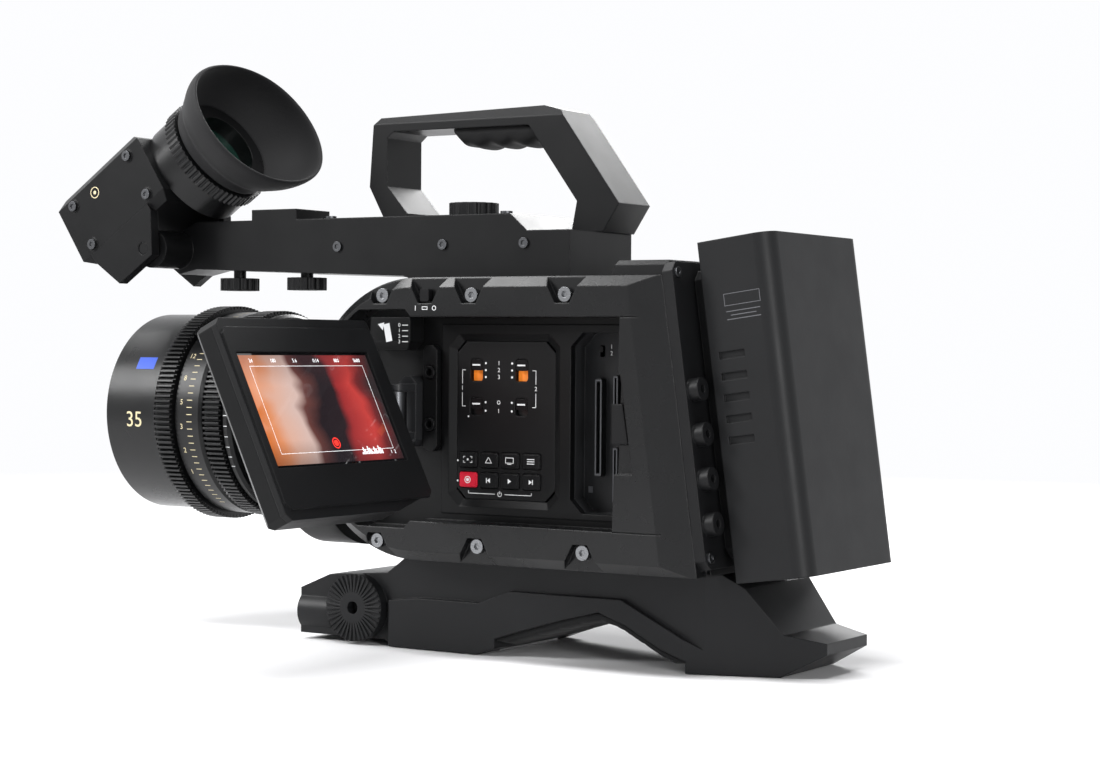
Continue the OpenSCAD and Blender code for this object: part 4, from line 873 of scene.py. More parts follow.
class Growth:
    """A geometry node tree built here, and the plain mesh that it grows."""

    def __init__(self, name: str) -> None:
        """Starts the tree with its geometry sockets.

        Args:
            name: The name of the tree and of the piece.
        """
        self.name = name
        self.tree = bpy.data.node_groups.new(name, "GeometryNodeTree")
        self.tree.interface.new_socket("Geometry", in_out="INPUT", socket_type="NodeSocketGeometry")
        self.tree.interface.new_socket("Geometry", in_out="OUTPUT", socket_type="NodeSocketGeometry")
        self.start = self.tree.nodes.new("NodeGroupInput")
        self.values: dict[str, object] = {}

    def size(self, name: str, value: float, kind: str = "NodeSocketFloat") -> bpy.types.NodeSocket:
        """Adds a named input.

        Args:
            name: The input's name.
            value: The value that this piece is grown with.
            kind: The socket's type.

        Returns:
            The socket that carries it.
        """
        item = self.tree.interface.new_socket(name, in_out="INPUT", socket_type=kind)
        self.values[item.identifier] = value
        return self.start.outputs[name]

    def node(self, kind: str, settings: dict[str, object], inputs: dict[object, object],
             output: Union[int, str] = 0) -> bpy.types.NodeSocket:
        """Adds a node.

        Args:
            kind: The node's type.
            settings: Its settings, which are set first.
            inputs: The values or links of its sockets, by name or number.
            output: The output that is wanted.

        Returns:
            That output.
        """
        node = self.tree.nodes.new(kind)
        for key, value in settings.items():
            setattr(node, key, value)
        for key, value in inputs.items():
            if isinstance(value, bpy.types.NodeSocket):
                self.tree.links.new(value, node.inputs[key])
            else:
                node.inputs[key].default_value = value
        return node.outputs[output]

    def maths(self, operation: str, first: object, second: object) -> bpy.types.NodeSocket:
        """Adds a Math node."""
        return self.node("ShaderNodeMath", {"operation": operation}, {0: first, 1: second})

    def grow(self, geometry: bpy.types.NodeSocket, points: Sequence[Vector],
             material: bpy.types.Material) -> bpy.types.Object:
        """Ends the tree and turns its result into a plain mesh.

        Args:
            geometry: The last geometry of the tree.
            points: The points that the tree starts from, in metres.
            material: The finish.

        Returns:
            The new object, without a modifier.
        """
        real = self.node("GeometryNodeRealizeInstances", {}, {0: geometry})
        dressed = self.node("GeometryNodeSetMaterial", {}, {"Geometry": real, "Material": material})
        end = self.tree.nodes.new("NodeGroupOutput")
        self.tree.links.new(dressed, end.inputs[0])
        seed = bpy.data.meshes.new(self.name)
        seed.from_pydata([tuple(p) for p in points], [], [])
        holder = bpy.data.objects.new(self.name + "_seed", seed)
        bpy.context.scene.collection.objects.link(holder)
        modifier = holder.modifiers.new("grow", "NODES")
        modifier.node_group = self.tree
        for identifier, value in self.values.items():
            modifier[identifier] = value
        bpy.context.view_layer.update()
        mesh = evaluated(holder)
        bpy.data.objects.remove(holder)
        return show(self.name, mesh, material)


@dataclass(frozen=True)
class SocketScrews:
    """Round-headed screws with a hexagonal socket, all facing one way. Sizes are in millimetres."""

    name: str
    body: str
    places: tuple[Vector, ...]
    facing: Place
    radius: float = 2.6
    height: float = 1.4
    socket: float = 1.3

    def make(self, material: bpy.types.Material) -> bpy.types.Object:
        """Grows the screws from their places, which lie on the face that carries them.

        Args:
            material: Their finish.

        Returns:
            The new piece.
        """
        tree = Growth(self.name)
        radius = tree.size("Head radius", self.radius * MM)
        height = tree.size("Head height", self.height * MM)
        socket = tree.size("Socket radius", self.socket * MM)
        facing = tree.size("Facing", self.facing, "NodeSocketVector")
        lift = tree.node("ShaderNodeCombineXYZ", {}, {2: tree.maths("MULTIPLY", height, 0.5)})
        head = tree.node("GeometryNodeMeshCylinder", {}, {"Vertices": 32, "Radius": radius, "Depth": height})
        head = tree.node("GeometryNodeTransform", {}, {"Geometry": head, "Translation": lift})
        key = tree.node("GeometryNodeMeshCylinder", {}, {"Vertices": 6, "Radius": socket, "Depth": height})
        rise = tree.node("ShaderNodeCombineXYZ", {}, {2: height})
        key = tree.node("GeometryNodeTransform", {}, {"Geometry": key, "Translation": rise})
        cut = tree.tree.nodes.new("GeometryNodeMeshBoolean")
        cut.operation = "DIFFERENCE"
        tree.tree.links.new(head, cut.inputs["Mesh 1"])
        tree.tree.links.new(key, cut.inputs["Mesh 2"])
        turn = tree.node("FunctionNodeAlignRotationToVector", {"axis": "Z"}, {"Vector": facing})
        screws = tree.node("GeometryNodeInstanceOnPoints", {}, {
            "Points": tree.start.outputs["Geometry"], "Instance": cut.outputs[0], "Rotation": turn})
        piece = tree.grow(screws, [p * MM for p in self.places], material)
        return seat(piece, self.body, "steel_dark")


@dataclass(frozen=True)
class ScaleTicks:
    """Engraved ticks round part of a lens ring, in millimetres and degrees."""

    name: str
    body: str
    x: float
    radius: float
    first: float
    step: float
    count: int
    length: float
    width: float = 0.35
    thick: float = 0.08

    def make(self, material: bpy.types.Material) -> bpy.types.Object:
        """Grows the ticks round the lens axis.

        Args:
            material: Their finish.

        Returns:
            The new piece.
        """
        tree = Growth(self.name)
        step = tree.size("Step", math.radians(self.step))
        first = tree.size("First angle", math.radians(self.first))
        radius = tree.size("Radius", self.radius * MM)
        length = tree.size("Length", self.length * MM)
        width = tree.size("Width", self.width * MM)
        index = tree.node("GeometryNodeInputIndex", {}, {})
        angle = tree.maths("ADD", tree.maths("MULTIPLY", index, step), first)
        line = tree.node("GeometryNodeMeshLine", {"mode": "OFFSET"}, {
            "Count": self.count, "Offset": (0, 0, 0)})
        y = tree.maths("MULTIPLY", tree.maths("COSINE", angle, 0.0), tree.maths("MULTIPLY", radius, -1.0))
        z = tree.maths("ADD", tree.maths("MULTIPLY", tree.maths("SINE", angle, 0.0), radius), AXIS_Z * MM)
        there = tree.node("ShaderNodeCombineXYZ", {}, {0: self.x * MM, 1: y, 2: z})
        line = tree.node("GeometryNodeSetPosition", {}, {"Geometry": line, "Position": there})
        size = tree.node("ShaderNodeCombineXYZ", {}, {0: length, 1: self.thick * MM, 2: width})
        tick = tree.node("GeometryNodeMeshCube", {}, {"Size": size})
        turn = tree.node("ShaderNodeCombineXYZ", {}, {0: tree.maths("MULTIPLY", angle, -1.0)})
        ticks = tree.node("GeometryNodeInstanceOnPoints", {}, {
            "Points": line, "Instance": tick, "Rotation": turn})
        return seat(tree.grow(ticks, [Vector((0, 0, 0))], material), self.body, "lens_black")


@dataclass(frozen=True)
class RoundRibs:
    """Thin ribs that repeat along the lens axis, such as a filter thread or light baffles, in millimetres."""

    name: str
    start: float
    pitch: float
    count: int
    radius: float
    rib: float

    def make(self, material: bpy.types.Material) -> bpy.types.Object:
        """Grows the ribs inside the front of the lens.

        Args:
            material: Their finish.

        Returns:
            The new piece.
        """
        tree = Growth(self.name)
        pitch = tree.size("Pitch", self.pitch * MM)
        radius = tree.size("Radius", self.radius * MM)
        rib = tree.size("Rib radius", self.rib * MM)
        path, section = (tree.node("GeometryNodeCurvePrimitiveCircle", {"mode": "RADIUS"}, {
            "Resolution": sides, "Radius": size}) for sides, size in ((96, radius), (6, rib)))
        ring = tree.node("GeometryNodeCurveToMesh", {}, {"Curve": path, "Profile Curve": section})
        ring = tree.node("GeometryNodeTransform", {}, {"Geometry": ring, "Rotation": (0.0, math.pi / 2, 0.0)})
        step = tree.node("ShaderNodeCombineXYZ", {}, {0: pitch})
        line = tree.node("GeometryNodeMeshLine", {"mode": "OFFSET"}, {
            "Count": self.count, "Start Location": (self.start * MM, 0.0, AXIS_Z * MM), "Offset": step})
        ribs = tree.node("GeometryNodeInstanceOnPoints", {}, {"Points": line, "Instance": ring})
        return seat(tree.grow(ribs, [Vector((0, 0, 0))], material), BODY, "lens_black")


# Sub-assemblies


class Symbol(Enum):
    """The plain symbols on the keys."""

    FOCUS = "focus"
    PEAK = "peak"
    DISPLAY = "display"
    MENU = "menu"
    RECORD = "record"
    BACK = "back"
    PLAY = "play"
    NEXT = "next"


@dataclass
class ControlPanel:
    """Marks on the control panel, its keys and its switches, in millimetres."""

    palette: Palette
    key_rise: float = 0.8
    key_x: tuple[float, ...] = (19.05, 30.25, 41.45, 52.65)
    key_z: tuple[float, float] = (88.75, 79.65)
    columns: tuple[float, float] = (23.0, 47.0)
    rows: tuple[float, float] = (129.05, 112.75)
    upper_stops: tuple[float, ...] = (3.1, 0.0, -3.1)
    lower_stops: tuple[float, ...] = (1.9, -1.9)
    stop_out: float = 5.0
    bracket_out: float = 7.6
    power_z: float = 73.6
    number: float = 1.9
    line: float = 0.28
    stop_dot: float = 0.5
    lamp_dot: float = 0.42

    def marks(self) -> None:
        """Prints the dots, the brackets and the numbers beside the switches."""
        ink = Ink(Sheet((0.0, PANEL_Y, 0.0)))
        top, bottom = self.rows
        middle = sum(self.columns) / 2
        for side, column, number in zip((1, -1), self.columns, "12"):
            for row, stops in ((top, self.upper_stops), (bottom, self.lower_stops)):
                for rise in stops:
                    ink.dot(column + side * self.stop_out, row + rise, self.stop_dot)
            self._bracket(ink, column - side * self.bracket_out, side)
            ink.digits(number, column - side * self.bracket_out, (top + bottom) / 2, self.number)
        for number, rise in zip("123", self.upper_stops):
            ink.digits(number, middle, top + rise, self.number)
        ink.arc(middle, bottom + self.lower_stops[0], 0.75, self.line)
        ink.bar(middle, bottom + self.lower_stops[1], self.line, 1.8)
        ink.dot(self.columns[0] - 4.2, bottom - 4.6, self.lamp_dot)
        for z in self.key_z:
            ink.dot(self.key_x[0] - 5.9, z - 0.6, self.lamp_dot)
        self._power_line(ink)
        ink.print("panel_print", BODY, "panel_black", self.palette.white)

    def _bracket(self, ink: Ink, x: float, side: int) -> None:
        """Prints one square bracket that joins an upper and a lower switch.

        Args:
            ink: The panel's ink.
            x: Where its long line stands.
            side: 1 where it opens to the right, and -1 to the left.
        """
        top, bottom = self.rows
        middle = (top + bottom) / 2
        foot, gap = 1.8, 2.0
        for z in (top, bottom):
            ink.bar(x + side * foot / 2, z, foot, self.line)
        ink.bar(x, (top + middle + gap) / 2, self.line, top - middle - gap)
        ink.bar(x, (bottom + middle - gap) / 2, self.line, middle - gap - bottom)

    def _power_line(self, ink: Ink) -> None:
        """Prints the line under the lower keys, with a power symbol in its gap.

        Args:
            ink: The panel's ink.
        """
        left, right = self.key_x[0], self.key_x[-1]
        middle = (left + right) / 2
        foot, gap = 1.2, 2.6
        for start, end in ((left, middle - gap), (middle + gap, right)):
            ink.bar((start + end) / 2, self.power_z, end - start, self.line)
        for x in (left, right):
            ink.bar(x, self.power_z + foot / 2, self.line, foot)
        ink.arc(middle, self.power_z, 1.0, self.line, -235.0, 55.0)
        ink.bar(middle, self.power_z + 0.75, self.line, 1.3)

    def keys(self) -> None:
        """Prints a symbol on each key."""
        for i, symbol in enumerate(Symbol):
            ink = Ink(Sheet((0.0, PANEL_Y - self.key_rise, 0.0)))
            self._draw(ink, symbol, self.key_x[i % 4], self.key_z[i // 4])
            ink.print(f"key_{symbol.value}_print", f"key_{symbol.value}", "black_plastic", self.palette.white)

    def _draw(self, ink: Ink, symbol: Symbol, x: float, z: float) -> None:
        """Draws one symbol.

        Args:
            ink: The key's ink.
            symbol: Which one.
            x: The key's middle along the panel.
            z: The key's middle up the panel.
        """
        if symbol is Symbol.FOCUS:
            for a, b in ((-1, -1), (-1, 1), (1, -1), (1, 1)):
                ink.bar(x + a * 1.9, z + b * 1.35, 1.1, self.line)
                ink.bar(x + a * 2.3, z + b * 1.0, self.line, 0.9)
            ink.dot(x, z, 0.5)
        elif symbol is Symbol.PEAK:
            ink.bar(x - 0.85, z, self.line, 2.9, -32)
            ink.bar(x + 0.85, z, self.line, 2.9, 32)
            ink.bar(x, z - 1.25, 3.6, self.line)
        elif symbol is Symbol.DISPLAY:
            ink.outline(x, z + 0.2, 4.4, 2.6, self.line)
            ink.bar(x, z - 1.5, 2.2, self.line)
        elif symbol is Symbol.MENU:
            for rise in (-1.0, 0.0, 1.0):
                ink.bar(x, z + rise, 3.8, 0.36)
        elif symbol is Symbol.RECORD:
            ink.arc(x, z, 1.45, 0.34)
            ink.dot(x, z, 0.8)
        elif symbol is Symbol.BACK:
            ink.shape([(x + 0.9, z - 1.1), (x + 0.9, z + 1.1), (x - 0.7, z)])
            ink.bar(x - 1.0, z, 0.4, 2.2)
        elif symbol is Symbol.PLAY:
            ink.shape([(x - 0.8, z - 1.1), (x + 1.0, z), (x - 0.8, z + 1.1)])
        elif symbol is Symbol.NEXT:
            ink.shape([(x - 0.9, z - 1.1), (x + 0.7, z), (x - 0.9, z + 1.1)])
            ink.bar(x + 1.0, z, 0.4, 2.2)

    def switches(self) -> None:
        """Adds the orange flags in the upper slots and the pale dashes on the knobs."""
        depth, rise, drop, width, height = 2.6, 0.2, 2.5, 6.2, 4.6
        # The flags' orange ink glows: a painted highlight that keeps them bright in the shade inside the
        # slots.
        flags = Ink(Sheet((0.0, PANEL_Y + depth, 0.0)))
        for column in self.columns:
            flags.bar(column, self.rows[0] - drop, width, height)
        flags.print("switch_flags", BODY, "panel_black", self.palette.orange)
        for kind, z in (("source", 131.35), ("feed", 113.9)):
            for number, column in zip("12", self.columns):
                knob = f"{kind}_switch_{number}"
                dash = Ink(Sheet((0.0, PANEL_Y - rise, 0.0)))
                dash.bar(column, z, 4.2, 0.7)
                dash.print(knob + "_dash", knob, "black_plastic", self.palette.white)

    def build(self) -> None:
        """Makes every mark of the panel."""
        self.marks()
        self.keys()
        self.switches()


@dataclass
class SideDetails:
    """Marks and small parts on the side cover, the hinge block and the media bay, in millimetres."""

    palette: Palette
    power_z: float = 156.6
    sign_y: float = -58.0
    sign_top: float = 149.0
    sign_step: float = 2.5
    large_slots: tuple[Point, ...] = ((83.2, 104.5), (98.4, 104.5))
    small_slots: tuple[Point, ...] = ((91.0, 115.2), (91.0, 83.75))
    # Line width of the painted highlights round the card slots.
    lip: float = 0.6

    def power_marks(self) -> None:
        """Prints a bar, a box and a ring beside the power switch."""
        ink = Ink(Sheet((0.0, SIDE_Y, 0.0)))
        ink.bar(0.4, self.power_z, 0.34, 2.2)
        ink.outline(5.5, self.power_z, 3.0, 1.5, 0.3)
        ink.arc(10.6, self.power_z, 0.95, 0.34)
        ink.print("power_print", BODY, "black_composite", self.palette.white)

    def filter_sign(self) -> None:
        """Prints the filters' plain sign: a pointer, and a number and a bar for each filter."""
        ink = Ink(Sheet((0.0, self.sign_y, 0.0)))
        ink.bar(-17.6, 145.6, 3.4, 8.2, 12.0)
        ink.shape([(-23.2, 149.4), (-19.7, 150.2), (-20.4, 146.6)])
        for i, number in enumerate("0123"):
            z = self.sign_top - i * self.sign_step
            ink.digits(number, -11.2, z, 1.7)
            ink.bar(-8.0, z, 3.2, 0.36)
        ink.print("filter_sign", BODY, "black_plastic", self.palette.white)

    def bay(self) -> None:
        """Prints the media bay's numbers, and lays its contacts and pale grey outlines round its card slots,
        which paint highlights on the slots' edges.
        """
        floor = Sheet((0.0, BAY_Y, 0.0))
        numbers = Ink(floor)
        for number, z in (("1", 139.9), ("2", 137.0)):
            numbers.digits(number, 87.4, z, 1.9)
        numbers.print("bay_print", BODY, "black_alloy", self.palette.white)
        contacts = Ink(floor)
        for x in (77.3, 93.4):
            contacts.bar(x, 77.0, 2.4, 2.8)
        contacts.print("bay_contacts", BODY, "steel_dark", self.palette.contact_and_highlight_grey)
        # Pale grey outlines on the card slots' faces: painted highlights standing in for their lit edges.
        for name, places, stand, width, length in (("large_slot_edge_highlights", self.large_slots, 4.0, 3.2, 42.0),
                                                   ("small_slot_edge_highlights", self.small_slots, 2.5, 2.2, 23.6)):
            edge_highlights = Ink(Sheet((0.0, BAY_Y - stand, 0.0)))
            for x, z in places:
                edge_highlights.outline(x, z, width, length, self.lip)
            edge_highlights.print(name, BODY, "steel_dark", self.palette.contact_and_highlight_grey)

    def build(self) -> None:
        """Makes every mark of the side."""
        self.power_marks()
        self.filter_sign()
        self.bay()


@dataclass
class Monitor:
    """The picture, its read-outs and the screws of the case, in millimetres."""

    palette: Palette
    glass: float = 6.7
    centre_y: float = -123.9
    centre_z: float = 3.2
    width: float = 88.0
    height: float = 50.0
    picture_thick: float = 0.08
    print_lift: float = 0.1
    top_row: float = 22.4
    bottom_row: float = -21.6
    number: float = 1.7

    def face(self) -> Sheet:
        """Returns the lit face, with its middle at the picture's and its front outwards."""
        return MONITOR.sheet(self.glass, self.centre_y, self.centre_z, (0.0, 1.0, 0.0))

    def picture(self) -> None:
        """Makes the lit picture under the glass."""
        face = self.face()
        signs = ((-1, -1), (1, -1), (1, 1), (-1, 1))
        low, high = ([face.point(a * self.width / 2, b * self.height / 2, lift) for a, b in signs]
                     for lift in (0.0, self.picture_thick))
        sides = [(i, (i + 1) % 4, 4 + (i + 1) % 4, 4 + i) for i in range(4)]
        mesh = bpy.data.meshes.new("monitor_picture")
        mesh.from_pydata(low + high, [], [(4, 5, 6, 7), (3, 2, 1, 0)] + sides)
        layer = mesh.uv_layers.new(name="picture")
        for loop in mesh.loops:
            a, b = signs[loop.vertex_index % 4]
            layer.data[loop.index].uv = ((a + 1) / 2, (b + 1) / 2)
        seat(show("monitor_picture", mesh, self.palette.picture), "monitor", "screen_glass")

    def readouts(self) -> None:
        """Prints the generic read-outs over the picture."""
        ink = Ink(self.face(), self.print_lift)
        for i, number in enumerate(("24", "180", "5.6", "0:14", "800", "5600")):
            ink.digits(number, -37.0 + i * 14.6, self.top_row, self.number)
        ink.outline(0.0, 0.0, 78.0, 40.0, 0.16)
        for i in range(14):
            level = i * 5 % 7
            ink.bar(16.0 + i * 1.1, self.bottom_row + level * 0.22, 0.7, 1.0 + level * 0.45)
        ink.digits("1  2", 38.0, self.bottom_row, self.number)
        ink.print("screen_readouts", "monitor", "screen_glass", self.palette.readout)
        record, height = Ink(self.face(), self.print_lift), -16.2
        record.arc(0.0, height, 2.3, 0.5)
        record.dot(0.0, height, 1.4)
        record.print("screen_record_mark", "monitor", "screen_glass", self.palette.alert)

    def fasteners(self) -> None:
        """Adds the screws in the back of the case."""
        back = -7.0
        places = tuple(MONITOR.at(back, y, z) for y in (-78.0, -165.0) for z in (-38.0, 38.0))
        screws = SocketScrews("monitor_back_screws", "monitor", places, tuple(-MONITOR.x), 2.0, 0.8, 1.0)
        screws.make(self.palette.steel)

    def build(self) -> None:
        """Makes every piece of the monitor."""
        self.picture()
        self.readouts()
        self.fasteners()


@dataclass
class Lens:
    """Scales, numbers and inner ribs of the lens, in millimetres and degrees."""

    palette: Palette
    front_radius: float = 49.4
    focus_radius: float = 50.5
    iris_radius: float = 49.4
    mount_radius: float = 42.0

    def front(self) -> None:
        """Prints the plain number and the plain coloured field on the front."""
        number = Ink(Barrel(-178.5, -4.0, self.front_radius))
        number.digits("35", 0.0, 0.0, 7.6)
        number.print("focal_number", BODY, "lens_black", self.palette.cream)
        badge, rows, step = Ink(Barrel(-176.0, 30.0, self.front_radius)), 6, 1.1
        for i in range(rows):
            badge.bar(0.0, (i - (rows - 1) / 2) * step, 11.5, 1.12)
        badge.print("lens_badge", BODY, "lens_black", self.palette.blue)

    def scales(self) -> None:
        """Engraves the scales of both rings and the line that they are read at."""
        cream, white = self.palette.cream, self.palette.white
        ticks = (ScaleTicks("focus_scale", "lens_focus_ring", -142.0, self.focus_radius, -60.0, 4.0, 46, 3.2),
                 ScaleTicks("iris_scale", "lens_iris_ring", -120.4, self.iris_radius, -30.0, 6.0, 12, 2.2),
                 ScaleTicks("witness_line", BODY, -114.0, self.mount_radius, 12.0, 3.0, 3, 5.0))
        for scale, ink in zip(ticks, (cream, white, white)):
            scale.make(ink)
        numbers = Ink(Barrel(-147.0, 0.0, self.focus_radius))
        for i, text in enumerate(("1", "2", "3", "5", "8", "12", "20")):
            numbers.digits(text, 0.0, -30.0 + i * 12.0, 2.6)
        numbers.print("focus_numbers", "lens_focus_ring", "lens_black", cream)

    def build(self) -> None:
        """Makes the marks and the ribs of the lens."""
        self.front()
        self.scales()
        RoundRibs("filter_thread", -196.8, 0.9, 8, 43.9, 0.3).make(self.palette.lens)
        RoundRibs("light_baffles", -188.0, 1.1, 5, 39.6, 0.35).make(self.palette.lens)


@dataclass
class Viewfinder:
    """The rubber eyecup, the screws and the mark of the viewfinder, in millimetres."""

    palette: Palette
    barrel_x: float = 31.0
    barrel_z: float = -4.0
    profile: tuple[Point, ...] = (
        (19.6, 23.2), (19.5, 26.2), (20.4, 27.1), (22.6, 27.3), (24.4, 27.0), (26.2, 28.6), (27.8, 30.6),
        (29.6, 31.4), (32.0, 33.0), (35.6, 35.2), (39.5, 37.0), (43.5, 38.3), (46.4, 38.6), (47.4, 37.8),
        (47.0, 36.6), (44.5, 36.2), (40.5, 35.2), (36.0, 33.0), (31.5, 29.9), (27.8, 26.6), (25.4, 24.4),
        (24.4, 23.2))
    flare: float = 24.0
    flattened: float = 0.08
    lean: float = 3.5
    droop: float = 4.0
    sides: int = 96
    screw_x: float = 21.08
    screw_z: float = 11.4

    def _ring(self, x: float, radius: float) -> list[Vector]:
        """Makes one ring of the eyecup, flatter, leaning and drooping more towards its lip.

        Args:
            x: Where the ring lies along the barrel.
            radius: Its radius.

        Returns:
            Its points, in metres.
        """
        spread = max(0.0, (x - self.flare) / self.flare)
        points = []
        for i in range(self.sides):
            a = 2 * math.pi * i / self.sides
            oval = radius * (1.0 - self.flattened * spread * math.sin(a) ** 2)
            reach = x + self.lean * spread ** 2 * math.cos(a)
            points.append(FINDER.at(self.barrel_x + reach, radius * math.cos(a),
                                    self.barrel_z - self.droop * spread + oval * math.sin(a)) * MM)
        return points

    def eyecup(self) -> None:
        """Turns the soft eyecup, with a rolled lip and two shallow folds."""
        piece = loft("eyecup_rubber", [self._ring(x, radius) for x, radius in self.profile], self.palette.cup)
        smooth = piece.modifiers.new("smooth", "SUBSURF")
        smooth.levels = smooth.render_levels = 1
        seat(piece, "viewfinder", "rubber_black", "eyecup")

    def fasteners(self) -> None:
        """Adds the four screws on each cheek of the case."""
        for side, name, cheek in ((-1.0, "left", 30.3), (1.0, "right", 30.0)):
            places = tuple(FINDER.at(x * self.screw_x, side * cheek, z * self.screw_z)
                           for x in (-1, 1) for z in (-1, 1))
            screws = SocketScrews(f"viewfinder_{name}_screws", "viewfinder", places, (0.0, side, 0.0),
                                  2.5, 1.1)
            screws.make(self.palette.steel)

    def mark(self) -> None:
        """Prints the ring and the dot on the near cheek."""
        ink = Ink(FINDER.sheet(-6.0, -30.0, 9.0))
        ink.arc(0.0, 0.0, 2.6, 0.4)
        ink.dot(0.0, 0.0, 0.9)
        ink.print("viewfinder_mark", "viewfinder", "black_alloy", self.palette.cream)

    def build(self) -> None:
        """Makes every piece of the viewfinder."""
        self.eyecup()
        self.fasteners()
        self.mark()


@dataclass
class SoftParts:
    """The rubber under the handle and the pad under the base, in millimetres."""

    palette: Palette
    grip_start: float = -13.6
    grip_length: float = 49.6
    grip_top: float = 241.5
    grip_half: float = 11.9
    grip_depth: float = 8.5
    finger_waves: int = 4
    finger_depth: float = 0.8
    pad_line: tuple[Point, ...] = ((29.9, 7.7), (43.0, 12.0), (64.4, 18.5), (75.5, 21.6), (84.0, 22.9),
                                   (91.5, 21.4), (97.9, 18.5), (115.3, 9.5), (127.1, 5.2))
    pad_half: float = 38.6
    pad_thick: float = 4.9
    grooves: int = 9
    groove_depth: float = 0.5

    @staticmethod
    def _round(half: float, corner: float, count: int) -> list[tuple[float, float]]:
        """Makes the rounded lower half of a cross section.

        Args:
            half: Half its width.
            corner: How square it is: 1 is round, and 0 is square.
            count: How many steps it has.

        Returns:
            Each step's place across, and the sine of its angle.
        """
        turns = (math.pi * k / count for k in range(count + 1))
        return [(-half * abs(math.cos(a)) ** corner * math.copysign(1, math.cos(a)), math.sin(a))
                for a in turns]

    def handle_grip(self) -> None:
        """Shapes the rubber under the handle's bar, with four shallow finger waves."""
        rings, steps = [], 60
        for i in range(steps + 1):
            share = i / steps
            x = self.grip_start + share * self.grip_length
            end = min(1.0, 8.0 * share + 0.3, 8.0 * (1 - share) + 0.3)
            wave = self.finger_depth * math.cos(share * 2 * self.finger_waves * math.pi)
            depth = (self.grip_depth + wave) * end
            rings.append([Vector((x, y, self.grip_top - depth * sine ** 0.5)) * MM
                          for y, sine in self._round(self.grip_half, 0.6, 24)])
        piece = loft("handle_rubber", rings, self.palette.rubber, closed=False)
        seat(piece, BODY, "rubber_black", "handle_grip")

    def shoulder_pad(self) -> None:
        """Shapes the pad along the arch, thick in its middle, with rounded sides and cross grooves."""
        line = self._even(self.pad_line, 90)
        rings = []
        for i, (x, z) in enumerate(line):
            share = i / (len(line) - 1)
            groove = self.groove_depth * max(0.0, math.cos(share * 2 * self.grooves * math.pi)) ** 6
            end = min(1.0, 10 * share + 0.35, 10 * (1 - share) + 0.35)
            rings.append([Vector((x, y, z - (self.pad_thick - groove) * end * sine ** 0.4)) * MM
                          for y, sine in self._round(self.pad_half, 0.35, 40)])
        piece = loft("shoulder_pad_foam", rings, self.palette.rubber, closed=False)
        seat(piece, BODY, "rubber_black", "shoulder_pad")

    @staticmethod
    def _even(points: Sequence[Point], count: int) -> list[Point]:
        """Spaces points evenly along a line.

        Args:
            points: The line's own points.
            count: How many steps are wanted.

        Returns:
            The evenly spaced points.
        """
        lengths = [0.0]
        for a, b in zip(points, points[1:]):
            lengths.append(lengths[-1] + math.dist(a, b))
        out = []
        for i in range(count + 1):
            want = lengths[-1] * i / count
            j = max(1, next((k for k, s in enumerate(lengths) if s >= want - 1e-9), len(points) - 1))
            share = (want - lengths[j - 1]) / (lengths[j] - lengths[j - 1])
            a, b = points[j - 1], points[j]
            out.append((a[0] + (b[0] - a[0]) * share, a[1] + (b[1] - a[1]) * share))
        return out

    def build(self) -> None:
        """Makes both soft parts."""
        self.handle_grip()
        self.shoulder_pad()


@dataclass
class RearUnit:
    """The battery's plain label and the screws of the rear plate, in millimetres."""

    palette: Palette
    label_at: Place = (30.0, -45.0, 112.0)
    screw_x: float = 5.0
    screw_y: float = 53.0
    screw_z: tuple[float, ...] = (8.0, 129.0)

    def build(self) -> None:
        """Makes the marks and the fasteners at the rear."""
        label = Ink(REAR.sheet(*self.label_at))
        label.outline(0.0, 3.0, 17.0, 5.2, 0.25)
        for i in range(3):
            label.bar(0.0, -2.0 - i * 1.7, 16.0 - 4 * (i % 2), 0.35)
        label.print("battery_label", BODY, "black_plastic", self.palette.faint)
        for side, name in ((-1, "left"), (1, "right")):
            places = tuple(REAR.at(self.screw_x, side * self.screw_y, z) for z in self.screw_z)
            screws = SocketScrews(f"plate_{name}_screws", BODY, places, tuple(REAR.x), 2.4, 1.2)
            screws.make(self.palette.steel)


@dataclass
class TopUnit:
    """Fasteners of the bar under the handle, in millimetres."""

    palette: Palette
    middle_y: float = -30.0
    top_z: float = 199.5
    near_y: float = -40.0
    side_z: float = 186.0

    def build(self) -> None:
        """Makes the screws on top of the bar and in its near side."""
        top = tuple(Vector((x, self.middle_y, self.top_z)) for x in (-72.0, 28.0))
        side = tuple(Vector((x, self.near_y, self.side_z)) for x in (-60.0, 0.0, 44.0))
        SocketScrews("bar_top_screws", BODY, top, (0.0, 0.0, 1.0), 2.8, 1.6).make(self.palette.steel)
        SocketScrews("bar_side_screws", BODY, side, (0.0, -1.0, 0.0), 2.4, 1.0).make(self.palette.steel)


@dataclass(frozen=True)
class Lamp:
    """One soft rectangular lamp: its place and size in metres, and its power in watts."""

    name: str
    place: Place
    size: Point
    power: float

    def hang(self, target: Vector) -> None:
        """Hangs the lamp and turns it.

        Args:
            target: The point that it looks at.
        """
        data = bpy.data.lights.new(self.name, "AREA")
        data.shape = "RECTANGLE"
        data.size, data.size_y = self.size
        data.energy = self.power
        lamp = bpy.data.objects.new(self.name, data)
        lamp.location = self.place
        lamp.rotation_euler = (target - Vector(self.place)).to_track_quat("-Z", "Y").to_euler()
        bpy.context.scene.collection.objects.link(lamp)


